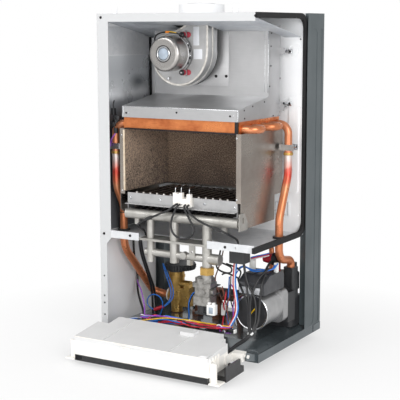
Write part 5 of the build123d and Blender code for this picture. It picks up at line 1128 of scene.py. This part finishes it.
@dataclass
class Wiring(SubAssembly):
    """Ignition leads, cables, single wires, the bundle behind the control box and its connectors."""

    front: float = -315.0
    lead_y: float = -321.0
    block_y: float = -309.5
    lead_r: float = 2.3
    boot_r: float = 4.0
    sleeve_r: float = 2.7
    wire_r: float = 1.4
    slack_r: float = 1.9
    tape_r: float = 6.4
    strand_spread: float = 9.5
    link_spread: float = 3.0
    curl_count: int = 16
    curl_pitch: float = 12.5
    floor_z: float = 243.5
    plug_z: float = 204.6
    tie: Point = (174.0, -292.0, 53.0)
    link_start: Point = (0.0, -0.30, 0.045)
    link_end: Point = (0.0, -0.365, 0.034)
    seed: int = 7

    def leads(self) -> None:
        """Make the ignition leads and the boots on two of them, in place of their plain solid."""
        y, b, r = self.lead_y, self.block_y, self.lead_r
        first = self.line("lead_left", [
            (1, b, 328), (1, y, 328), (-14, y - 1, 314), (-46, y - 2, 301), (-88, y - 1, 283),
            (-105, -314, 271), (-96, -299, 260), (-96, -291, 251), (-96, -291, 246),
        ], r, Wire.LEAD)
        self.line("lead_looped", [
            (7, b, 327), (7, y, 327), (-4, y - 1, 304), (-9, y - 3, 284), (-4, y - 3, 263), (18, y - 2, 252),
            (44, y - 3, 259), (54, y - 2, 278), (40, y - 3, 298), (21, y, 327), (21, b, 327),
        ], r, Wire.LEAD)
        self.line("lead_right", [
            (30, b, 327), (30, y, 327), (38, y - 1, 312), (60, y, 297), (92, y - 1, 287), (118, y + 1, 280),
            (132, -303, 267), (134, -277, 255), (134, -277, 246),
        ], r, Wire.LEAD)
        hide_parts("ignition_leads")
        wide = self.boot_r
        boot = [(0, 0), (2.6, 0), (3.6, 1.5), (wide, 4), (wide, 15), (3.2, 18), (2.6, 21), (0, 21)]
        spans = [((-58, y - 1.7, 296), (-80, y - 1.2, 286.5)), ((96, y - 0.7, 286), (114, y + 0.7, 281))]
        for i, (start, end) in enumerate(spans, 1):
            self.turned(f"lead_boot_{i}", boot, [(start, tuple(Vector(end) - Vector(start)))], RUBBER, 24)

    def left_cables(self) -> None:
        """Make the cables and single wires of the lower bay's left side, in place of their plain solid."""
        s, w, floor = self.sleeve_r, self.wire_r, self.floor_z
        first = self.line("cable_left", [
            (-192, -200, floor), (-192, -200, 234), (-193, -196, 165), (-192, -182, 121), (-186, -195, 92),
            (-160, -222, 72), (-128, -256, 60), (-104, -288, 50),
        ], s, Wire.BLACK)
        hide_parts("wiring_harness")
        self.line("sleeve_inner", [
            (-114, -284, floor), (-114, -284, 234), (-129, -255, 195), (-140, -205, 125), (-149, -172, 85),
            (-152, -165, 28.8),
        ], s, Wire.BLACK)
        self.line("sleeve_outer", [
            (-120, -282, floor), (-120, -282, 234), (-136, -253, 195), (-147, -203, 125), (-155, -175, 85),
            (-159, -168, 28.8),
        ], s, Wire.BLACK)
        self.line("wire_violet", [
            (-190, -187, 111), (-176, -206, 107), (-158, -221, 100), (-142, -237, 86), (-116, -266, 66),
            (-104, -289, 50),
        ], w, Wire.VIOLET)
        self.line("wire_blue_1", [
            (-134, -161, 152), (-128, -167, 143), (-113, -168, 109), (-104, -170, 85), (-106, -176, 64),
            (-119, -182, 53),
        ], w, Wire.BLUE)
        self.line("wire_blue_2", [
            (-131, -163, 152), (-122, -168, 140), (-107, -167, 112), (-99, -168, 88), (-101, -172, 66),
            (-117, -181, 53),
        ], w, Wire.BLUE)
        self.line("wire_blue_loop", [
            (-141, -190, 44), (-156, -190, 48), (-162, -190, 62), (-155, -190, 77), (-138, -190, 83),
            (-122, -189, 76), (-117, -187, 60), (-124, -184, 40), (-130, -182, 28.6),
        ], w, Wire.BLUE)
        self.line("sleeve_valve", [
            (22, -208, 132), (-6, -225, 115), (-18, -228, 95), (-17, -236, 76), (-2, -256, 63),
            (16, -296, 50),
        ], s, Wire.BLACK)
        self.line("wire_blue_valve", [
            (24, -211, 132), (-4, -229, 116), (-16, -233, 96), (-14, -241, 78), (1, -261, 64), (20, -297, 51),
        ], w, Wire.BLUE)

    def right_cables(self) -> None:
        """Make the cables and single wires between the gas valve and the pump."""
        s, w, plug, tie = self.sleeve_r, self.wire_r, self.plug_z, self.tie
        self.line("wire_brown", [
            (88, -256, self.floor_z), (88, -256, 234), (82, -257, 205), (71, -256, 176), (63, -255, 157),
            (69, -255, 137), (86, -259, 107), (89, -260, 100),
        ], w, Wire.BROWN)
        self.line("wire_red_1", [(89, -260, 80), (92, -266, 68), (100, -290, 50)], w, Wire.RED)
        self.line("wire_red_2", [(92, -260, 80), (99, -264, 68), (112, -288, 51)], w, Wire.BROWN)
        start = [
            (119, -266, plug), (115, -264, 170), (114, -263, 152), (119, -265, 129), (125, -269, 105),
            (125, -273, 89),
        ]
        ends = {
            Wire.RED: [(121, -279, 74), (110, -290, 52)],
            Wire.WHITE: [(124, -279, 74), (114, -288, 54)],
            Wire.BLUE: [(127, -280, 74), (117, -287, 55)],
        }
        for i, (colour, end) in enumerate(ends.items()):
            points = [(x + 3 * i, y, z) for x, y, z in start] + end
            self.line(f"wire_trio_{colour.name.lower()}", points, w, colour)
        self.line("cable_pump", [
            (140, -262, plug), (147, -266, 164), (168, -267, 136), (175, -269, 111), (178, -275, 86),
            (178, -282, 69), tie,
        ], s, Wire.BLACK)
        self.line("cable_sensor", [
            (160, -172, 190), (166, -202, 184), (178, -233, 179), (185, -261, 164), (183, -266, 134),
            (184, -273, 88), (183, -282, 68), tie,
        ], s, Wire.BLACK)
        yellow = [(175, -269, 108), (164, -267, 98), (157, -268, 84), (160, -278, 64), tie]
        self.line("wire_yellow", yellow, w, Wire.YELLOW)

    def bundle_route(self) -> list[Point]:
        """Lay the bundle along the control box's rear edge.

        Returns:
            Its control points in mm.
        """
        f = self.front
        return [
            (-112, f + 23, 50), (-82, f + 21, 53), (-41, f + 20, 58), (-6, f + 19, 58),
            (25, f + 20, 56), (62, f + 19, 55), (104, f + 22, 55), (122, f + 30, 56),
        ]

    def strand(self, route: list[Point], spread: float, rng: random.Random) -> list[Point]:
        """Return a route moved a little at each point, so that wires cross over each other.

        Args:
            route: the bundle's route.
            spread: largest distance from it in mm.
            rng: the seeded source of the moves.

        Returns:
            The strand's control points.
        """
        angle = rng.uniform(0, 2 * math.pi)
        points = []
        for x, y, z in route:
            angle += rng.uniform(-1.1, 1.1)
            reach = spread * math.sqrt(rng.uniform(0.15, 1.0))
            points.append((x + rng.uniform(-2, 2), y + reach * math.cos(angle), z + reach * math.sin(angle)))
        return points

    def bundle(self) -> None:
        """Make the strands behind the control box."""
        rng = random.Random(self.seed)
        colours = [
            Wire.BLUE, Wire.RED, Wire.WHITE, Wire.BLACK, Wire.VIOLET, Wire.BLACK, Wire.RED, Wire.BLUE,
            Wire.YELLOW, Wire.BROWN, Wire.BLACK, Wire.BLUE, Wire.RED, Wire.WHITE, Wire.BLACK, Wire.VIOLET,
            Wire.BLUE, Wire.RED, Wire.YELLOW, Wire.VIOLET, Wire.BLUE, Wire.RED,
        ]
        route = self.bundle_route()
        for i, colour in enumerate(colours):
            start = 0 if i % 3 else rng.choice((1, 2, 3))
            end = len(route) if i % 4 else rng.choice((start + 4, start + 5, 8))
            points = self.strand(route[start:end], self.strand_spread, rng)
            self.line(f"bundle_wire_{i + 1:02d}", points, self.wire_r, colour)

    def tangle(self) -> None:
        """Make the short wires that curl out of the bundle, and the dark tape round it."""
        rng = random.Random(self.seed + 3)
        colours = [Wire.RED, Wire.VIOLET, Wire.WHITE, Wire.BLACK, Wire.YELLOW, Wire.BLUE]
        for i in range(self.curl_count):
            x = -92 + self.curl_pitch * i
            reach, rise = rng.uniform(18, 40), rng.uniform(4, 22)
            points = [
                (x, -296 + rng.uniform(-4, 8), 54 + rng.uniform(-4, 4)),
                (x + reach * 0.5, -286 + rng.uniform(-8, 12), 58 + rise),
                (x + reach, -294 + rng.uniform(-6, 8), 53 + rng.uniform(-4, 4)),
            ]
            self.line(f"bundle_curl_{i + 1:02d}", points, self.wire_r, colours[i % len(colours)])
        route = self.bundle_route()
        for i, first in enumerate((1, 3, 5), 1):
            start, end = Vector(route[first]), Vector(route[first + 1])
            points = [tuple(start.lerp(end, share)) for share in (0.2, 0.5, 0.8)]
            self.line(f"bundle_tape_{i}", points, self.tape_r, Wire.BLACK)

    def loops(self) -> None:
        """Make the slack loops of sleeved wire, and the loose wires, between gas valve and pump."""
        routes = [
            [(90, -272, 241), (86, -272, 215), (76, -270, 196), (77, -270, 184), (94, -270, 177),
             (112, -268, 177), (115, -268, 190), (100, -270, 196), (87, -272, 200)],
            [(96, -262, 196), (108, -258, 192), (124, -254, 186), (130, -252, 176), (124, -258, 162)],
            [(86, -262, 170), (94, -262, 176), (108, -260, 172), (118, -258, 168), (126, -260, 166)],
        ]
        for i, points in enumerate(routes, 1):
            self.line(f"slack_loop_{i}", points, self.slack_r, Wire.BLACK)
        rng = random.Random(self.seed + 2)
        colours = [
            Wire.BROWN, Wire.RED, Wire.BLACK, Wire.BLUE, Wire.BROWN, Wire.BLACK, Wire.VIOLET, Wire.WHITE,
        ]
        for i, colour in enumerate(colours):
            x, top, low = 92 + 3.6 * i, 150 + rng.uniform(-30, 25), 56
            points = [
                (x + rng.uniform(-6, 6), -262 + rng.uniform(-10, 12), top - k * (top - low) / 4)
                for k in range(5)
            ]
            self.line(f"slack_wire_{i + 1}", points, self.wire_r, colour)

    def pump_wires(self) -> None:
        """Make the cables that meet over the pump's disc, and the wires over its terminal box."""
        tie = (172.0, -291.0, 55.0)
        cables = [
            [(118, -246, 160), (131, -262, 150), (146, -269, 132), (156, -271, 112), (158, -273, 90),
             (161, -281, 70), tie],
            [(128, -236, 186), (138, -254, 178), (150, -267, 150), (159, -272, 122), (161, -274, 95),
             (165, -281, 72), tie],
            [(184, -230, 188), (176, -252, 176), (168, -266, 150), (163, -272, 126), (163, -275, 98),
             (168, -282, 72), tie],
        ]
        for i, points in enumerate(cables, 1):
            self.line(f"pump_cable_{i}", points, 2.5, Wire.BLACK)
        over = [
            [(112, -240, 180), (120, -232, 190), (132, -226, 183), (146, -224, 179), (160, -222, 183),
             (176, -214, 180), (188, -204, 184), (190, -196, 194)],
            [(108, -238, 170), (116, -236, 184), (128, -230, 187), (144, -228, 176), (162, -218, 178),
             (180, -206, 178), (184, -196, 190)],
        ]
        for i, points in enumerate(over, 1):
            self.line(f"blue_wire_over_box_{i}", points, self.wire_r, Wire.BLUE)
        trio = ((124, -200, 196), (134, -192, 199), (144, -176, 200), (152, -164, 202))
        for i, colour in enumerate((Wire.WHITE, Wire.RED, Wire.BLUE)):
            points = [(x, y, z + 2.6 * i) for x, y, z in trio]
            self.line(f"limiter_wire_{i + 1}", points, self.wire_r, colour)

    def connectors(self) -> None:
        """Make the joints, connectors and tie that hold the wires."""
        joint = [(0, 0), (3.4, 0), (4.2, 0.8), (4.2, 24.5), (3.4, 25.4), (0, 25.4)]
        along = [((-141, -190, 44), (24, 8.5, 10))]
        self.turned("blue_wire_joint", joint, along, NYLON_RED, 24)
        self.blocks("brown_wire_connector", [((84.5, -264.5, 78), (95.5, -255.5, 102))], NYLON_WHITE, 1)
        self.blocks("bundle_connectors", [
            ((-31, -297, 56), (-10, -287, 64)), ((29, -298, 52), (46, -288, 60)),
            ((48, -297, 50), (62, -288, 57)),
        ], NYLON_WHITE, 0.8)
        self.blocks("bundle_end_black", [((121, -297, 51), (134, -288, 59))], ABS_BLACK, 0.8)
        self.blocks("bundle_end_white", [((134.2, -297.5, 51), (138, -287.5, 59.5))], NYLON_WHITE, 0.8)
        spot = [((172.5, -289.5, 55.5), (0.35, 0.6, -0.9))]
        self.turned("cable_tie", washer(5.0, 6.9, -2, 2), spot, NYLON_WHITE, 24)

    def bent_line(self, name: str, points: list[Point], radius: float, colour: Wire) -> Piece:
        """Make a wire that bends between the casing and the control box.

        Args:
            name: the piece's name.
            points: control points in mm.
            radius: radius in mm.
            colour: the insulation.

        Returns:
            The piece, a mesh that is attached to no body.
        """
        curve = smooth_curve(name, points, radius)
        curve.materials.append(material_of(colour))
        drawn = new_object(name, curve)
        bpy.context.view_layer.update()
        mesh = bpy.data.meshes.new_from_object(drawn.evaluated_get(bpy.context.evaluated_depsgraph_get()))
        bpy.data.objects.remove(drawn)
        piece = new_object(name, mesh)
        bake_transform(piece)
        LOG.info("made %s", name)
        return piece

    def box_links(self) -> None:
        """Make the two bundles that cross to the control box, in place of their plain solid."""
        rng = random.Random(self.seed + 1)
        black = (Wire.BLACK, self.sleeve_r)
        left = [(colour, self.wire_r) for colour in (
            Wire.BLUE, Wire.RED, Wire.BLACK, Wire.WHITE, Wire.VIOLET, Wire.BLACK,
        )]
        right = [black, black, (Wire.YELLOW, self.wire_r), black, black]
        routes = {
            "left": [(-112, -292, 48), (-127, -290.5, 49), (-150, -319, 43), (-154, -348, 37),
                     (-154, -372, 33)],
            "right": [(173.6, -292.7, 52.2), (170, -299, 45), (160, -325, 38), (158.5, -350, 34),
                      (158.5, -378, 30)],
        }
        for (side, route), wires in zip(routes.items(), (left, right)):
            for i, (colour, radius) in enumerate(wires, 1):
                points = self.strand(route, self.link_spread, rng)
                self.bent_line(f"box_link_{side}_{i}", points, radius, colour)
        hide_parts("box_harness")

    def left_sensor(self) -> None:
        """Make the sensor and its wires beside the left end of the exchanger."""
        body = [(0, 0), (5, 0), (5.4, 1), (5.4, 9), (3.5, 11), (3.5, 20), (0, 21)]
        self.turned("sensor_left", body, [((-172, -286, 486), (0.2, -0.2, 1.0))], RUBBER, 24)
        violet = [(-172, -287, 486), (-176, -289, 474), (-182, -290, 462), (-186, -290, 448)]
        self.line("sensor_wire_violet", violet, self.wire_r, Wire.VIOLET)
        self.line("sensor_wire_black", [
            (-171, -287, 505), (-175, -290, 518), (-183, -288, 524), (-188, -280, 500), (-187, -276, 450),
            (-190, -270, 380), (-193, -262, 300), (-192, -256, 247),
        ], 1.6, Wire.BLACK)

    def left_plugs(self) -> None:
        """Make the black plugs and their thin wires in front of the left elbow."""
        self.blocks("left_plugs", [
            ((-178, -303, 515), (-170, -294, 531)), ((-167, -303, 505), (-157, -293, 514)),
            ((-180, -303, 490), (-171, -294, 500)), ((-171, -303, 474), (-164, -295, 486)),
        ], ABS_BLACK, 1.2)
        routes = [
            [(-174, -298, 516), (-171, -302, 508), (-166, -300, 503), (-170, -303, 494), (-175, -300, 490)],
            [(-162, -298, 506), (-166, -303, 498), (-172, -303, 486), (-169, -301, 476)],
            [(-174, -298, 530), (-176, -300, 540), (-172, -298, 548)],
        ]
        for i, points in enumerate(routes, 1):
            self.line(f"left_plug_wire_{i}", points, self.wire_r, Wire.BLACK)
        violet = [(-168, -300, 475), (-174, -304, 466), (-181, -303, 456), (-183, -300, 444)]
        self.line("left_plug_wire_violet", violet, 1.0, Wire.VIOLET)

    def pieces(self) -> None:
        """Make all wiring, in place of its plain solids."""
        self.left_plugs()
        self.leads()
        self.left_cables()
        self.right_cables()
        self.bundle()
        self.tangle()
        self.loops()
        self.pump_wires()
        self.connectors()
        self.box_links()
        self.left_sensor()


@dataclass
class ControlBox(SubAssembly):
    """Control box with its lid, fascia, dials and circuit board, folded down on its hinge.

    Its own frame has its origin on the hinge's axis, and leans forward with the folded box.
    """

    hinge: Point = (0.0, -356.0, 25.0)
    droop: float = 2.6
    lid_half: float = 168.0
    lid_front: float = -110.0
    lid_back: float = 19.0
    lid_low: float = 25.0
    top_front: float = 27.0
    top_back: float = 35.8
    rib_steps: int = 12
    hole_x: float = 74.0
    body: ClassVar[str] = "control_box"
    finishes: ClassVar = {
        ABS_WHITE: ("control_cover",),
        ABS_CREAM: ("control_housing",),
        GLOSS_BLACK: ("control_fascia",),
        CIRCUIT: ("control_pcb",),
        ABS_BLACK: ("knob_heating", "knob_water", "reset_button"),
    }

    def place(self) -> Matrix:
        """Return where the box's own frame lies in the row frame, in metres."""
        return tilted(self.hinge, self.droop)

    def top_at(self, y: float) -> float:
        """Return the height of the lid's top in its own frame, at a distance towards the wall."""
        share = (y - self.lid_front) / (self.lid_back - self.lid_front)
        return self.top_front + share * (self.top_back - self.top_front)

    def ribs(self) -> None:
        """Make the two raised lines across the lid, each in short steps down its slope."""
        boxes = []
        near_y, steps = self.lid_front, self.rib_steps
        for near_x, far_x, far_y in ((-94.0, -89.0, 16.0), (75.0, 79.0, -10.0)):
            xs = [near_x + (far_x - near_x) * i / steps for i in range(steps + 1)]
            ys = [near_y + (far_y - near_y) * i / steps for i in range(steps + 1)]
            for xa, xb, ya, yb in zip(xs, xs[1:], ys, ys[1:]):
                z = self.top_at((ya + yb) / 2)
                boxes.append(((xa - 0.5, ya - 0.2, z - 1.2), (xb + 0.5, yb + 0.2, z + 0.9)))
        self.blocks("lid_ribs", boxes, ABS_WHITE, 0.3)

    def front_wall(self) -> None:
        """Make the moulded lines, ledge and latch of the box's front wall."""
        y, half, low = self.lid_front, self.lid_half, self.lid_low
        self.blocks("front_lines", [
            ((-half, y - 1.0, low - 1.6), (half, y + 1.0, low + 0.4)),
            ((-60, y - 1.6, low - 4), (40, y + 0.5, low - 2.6)),
            ((-120, y - 1.4, -6), (120, y + 0.5, -4.6)),
        ], ABS_CREAM, 0.4)
        self.blocks("front_latch", [
            ((-41, y - 3.4, 1), (-25, y - 1.0, 4)), ((-41, y - 3.4, 17), (-25, y - 1.0, 20)),
            ((-44, y - 3.2, 0), (-41, y - 1.0, 20)), ((-25, y - 3.2, 0), (-22, y - 1.0, 20)),
            ((-36, y - 3.0, 8), (-30, y - 1.2, 13)),
        ], ABS_CREAM)

    def corner(self) -> None:
        """Make the raised pad and the cream latch of the box's right front corner."""
        top, half = self.top_front, self.lid_half
        self.blocks("corner_pad", [((148, -112, top - 1), (166, -99, top + 3))], ABS_WHITE, 1.2)
        rails = [((half - 1, -104 + 12 * i, -8), (half + 2.2, -98 + 12 * i, 22)) for i in range(4)]
        self.blocks("side_latch", rails, ABS_CREAM, 0.8)

    def fascia(self) -> None:
        """Make the ribs at the fascia's left end, and a black disc of painted shade for the small hole in the
        lid's front edge.
        """
        first = 2 - self.lid_half
        slats = [((first + 2 * i, -113.4, -28), (first + 2 * i + 1.1, -111.5, -19)) for i in range(8)]
        self.blocks("fascia_slats", slats, GLOSS_BLACK, 0.3)
        y = self.lid_front + 2
        spot = ((self.hole_x, y, self.top_at(y)), UP)
        # A black disc of painted shade stands for the hole.
        self.turned("lid_hole_shade", washer(0, 1.5, -0.2, 0.15), [spot], ABS_BLACK, 16)

    def pieces(self) -> None:
        """Make the fine pieces."""
        self.ribs()
        self.front_wall()
        self.corner()
        self.fascia()


@dataclass
class Studio:
    """Camera, white surroundings, soft lights and a pale floor. Its lengths are in metres.

    The camera's roll is in radians.
    """

    location: Point = (1.2315, -2.2896, 0.7054)
    yaw_degrees: float = 30.656
    pitch_degrees: float = 8.994
    roll: float = -0.0021
    lens_mm: float = 97.126
    sensor_mm: float = 36.0
    clip: Span = (0.05, 60.0)
    dim_strength: float = 0.62
    gloss_strength: float = 0.8
    floor_z: float = -0.020
    floor_half: float = 6.0
    floor_tones: Span = (0.93, 0.95)
    floor_patches_per_m: float = 3.0
    shadow_middle: Point = (0.0, -0.2, -0.020)
    fade_from_to: Span = (0.25, 0.75)
    fade_shares: Span = (0.55, 1.0)
    aim: Point = (0.0, -0.2, 0.35)
    # Each light has its place, its width and height, and its power in watts.
    lights: ClassVar[dict[str, tuple[Point, Span, float]]] = {
        "key": ((-1.1, -2.6, 2.2), (1.6, 1.6), 32),
        "fill": ((2.2, -1.9, 1.2), (1.4, 1.8), 44),
        "front": ((0.2, -3.2, 0.5), (2.4, 1.2), 18),
    }

    def camera(self) -> None:
        """Set up the camera as solved from the photograph."""
        data = bpy.data.cameras.new("camera")
        data.lens, data.sensor_width, data.sensor_fit = self.lens_mm, self.sensor_mm, "HORIZONTAL"
        data.clip_start, data.clip_end = self.clip
        made = new_object("camera", data)
        yaw, pitch = math.radians(self.yaw_degrees), math.radians(self.pitch_degrees)
        forward = (-math.sin(yaw) * math.cos(pitch), math.cos(yaw) * math.cos(pitch), -math.sin(pitch))
        roll = Matrix.Rotation(self.roll, 4, "Z")
        made.matrix_world = Matrix.Translation(self.location) @ aimed(forward, "-Z") @ roll
        bpy.context.scene.camera = made

    def world(self) -> None:
        """Light the scene dimly from all round, and show white to the camera, in gloss and through glass."""
        world = bpy.data.worlds.new("studio")
        tree = empty_tree(world)
        path = add_node(tree, "LightPath").outputs
        seen = calc(tree, "MAXIMUM", path["Is Camera Ray"], path["Is Transmission Ray"])
        dim, glossy, white = (
            add_node(tree, "Background", {"Color": colour, "Strength": strength}).outputs[0]
            for colour, strength in (
                (linear("F6F6F6"), self.dim_strength), (linear("F4F4F4"), self.gloss_strength), (WHITE, 1.0),
            )
        )
        around = add_node(tree, "MixShader", {"Fac": path["Is Glossy Ray"], 1: dim, 2: glossy}).outputs[0]
        final = add_node(tree, "MixShader", {"Fac": seen, 1: around, 2: white}).outputs[0]
        add_node(tree, "OutputWorld", {"Surface": final})
        bpy.context.scene.world = world

    def light(self, name: str, spot: Point, size: Span, power: float) -> None:
        """Add one soft rectangular light, aimed at the boiler.

        Args:
            name: its name.
            spot: its place.
            size: its width and height.
            power: its power in watts.
        """
        data = bpy.data.lights.new(name, "AREA")
        data.shape, data.size, data.size_y, data.energy = "RECTANGLE", *size, power
        made = new_object(name, data)
        made.matrix_world = Matrix.Translation(spot) @ aimed(Vector(self.aim) - Vector(spot), "-Z")

    def paper(self) -> bpy.types.Material:
        """Make the floor's material.

        Returns:
            Pale paper that keeps its shadow near the boiler and fades to white away from it.
        """
        material = bpy.data.materials.new("studio_paper")
        tree = empty_tree(material)
        place = on_object(tree)
        far = add_node(tree, "VectorMath", {0: place, 1: self.shadow_middle}, operation="DISTANCE")
        tone = rescale(tree, noise(tree, place, self.floor_patches_per_m), (0.0, 1.0), self.floor_tones)
        paper = add_node(tree, "BsdfPrincipled", {"Base Color": tone, "Roughness": 0.8}).outputs[0]
        white = add_node(tree, "Emission", {"Color": WHITE, "Strength": 1.0}).outputs[0]
        share = rescale(tree, far.outputs["Value"], self.fade_from_to, self.fade_shares)
        seen = add_node(tree, "LightPath").outputs["Is Camera Ray"]
        fade = calc(tree, "MULTIPLY", share, seen)
        mixed = add_node(tree, "MixShader", {"Fac": fade, 1: paper, 2: white}).outputs[0]
        add_node(tree, "OutputMaterial", {"Surface": mixed})
        return material

    def floor(self) -> None:
        """Make the pale floor."""
        bm = bmesh.new()
        level = Matrix.Translation((0, 0, self.floor_z))
        bmesh.ops.create_grid(bm, x_segments=1, y_segments=1, size=self.floor_half, matrix=level)
        mesh = bpy.data.meshes.new("floor")
        bm.to_mesh(mesh)
        bm.free()
        mesh.materials.append(self.paper())
        new_object("floor", mesh)

    def build(self) -> None:
        """Set up the whole studio."""
        self.camera()
        self.world()
        for name, (spot, size, power) in self.lights.items():
            self.light(name, spot, size, power)
        self.floor()
        bpy.context.scene.view_settings.view_transform = "Standard"


def main() -> None:
    """Build every sub-assembly in order."""
    logging.basicConfig(level=logging.INFO, format="%(message)s")
    for kind in (Chassis, FanUnit, HeatCell, GasTrain, Hydraulics, Wiring, ControlBox, Studio):
        LOG.info("building %s", kind.__name__)
        kind().build()


if __name__ == "__main__":
    main()
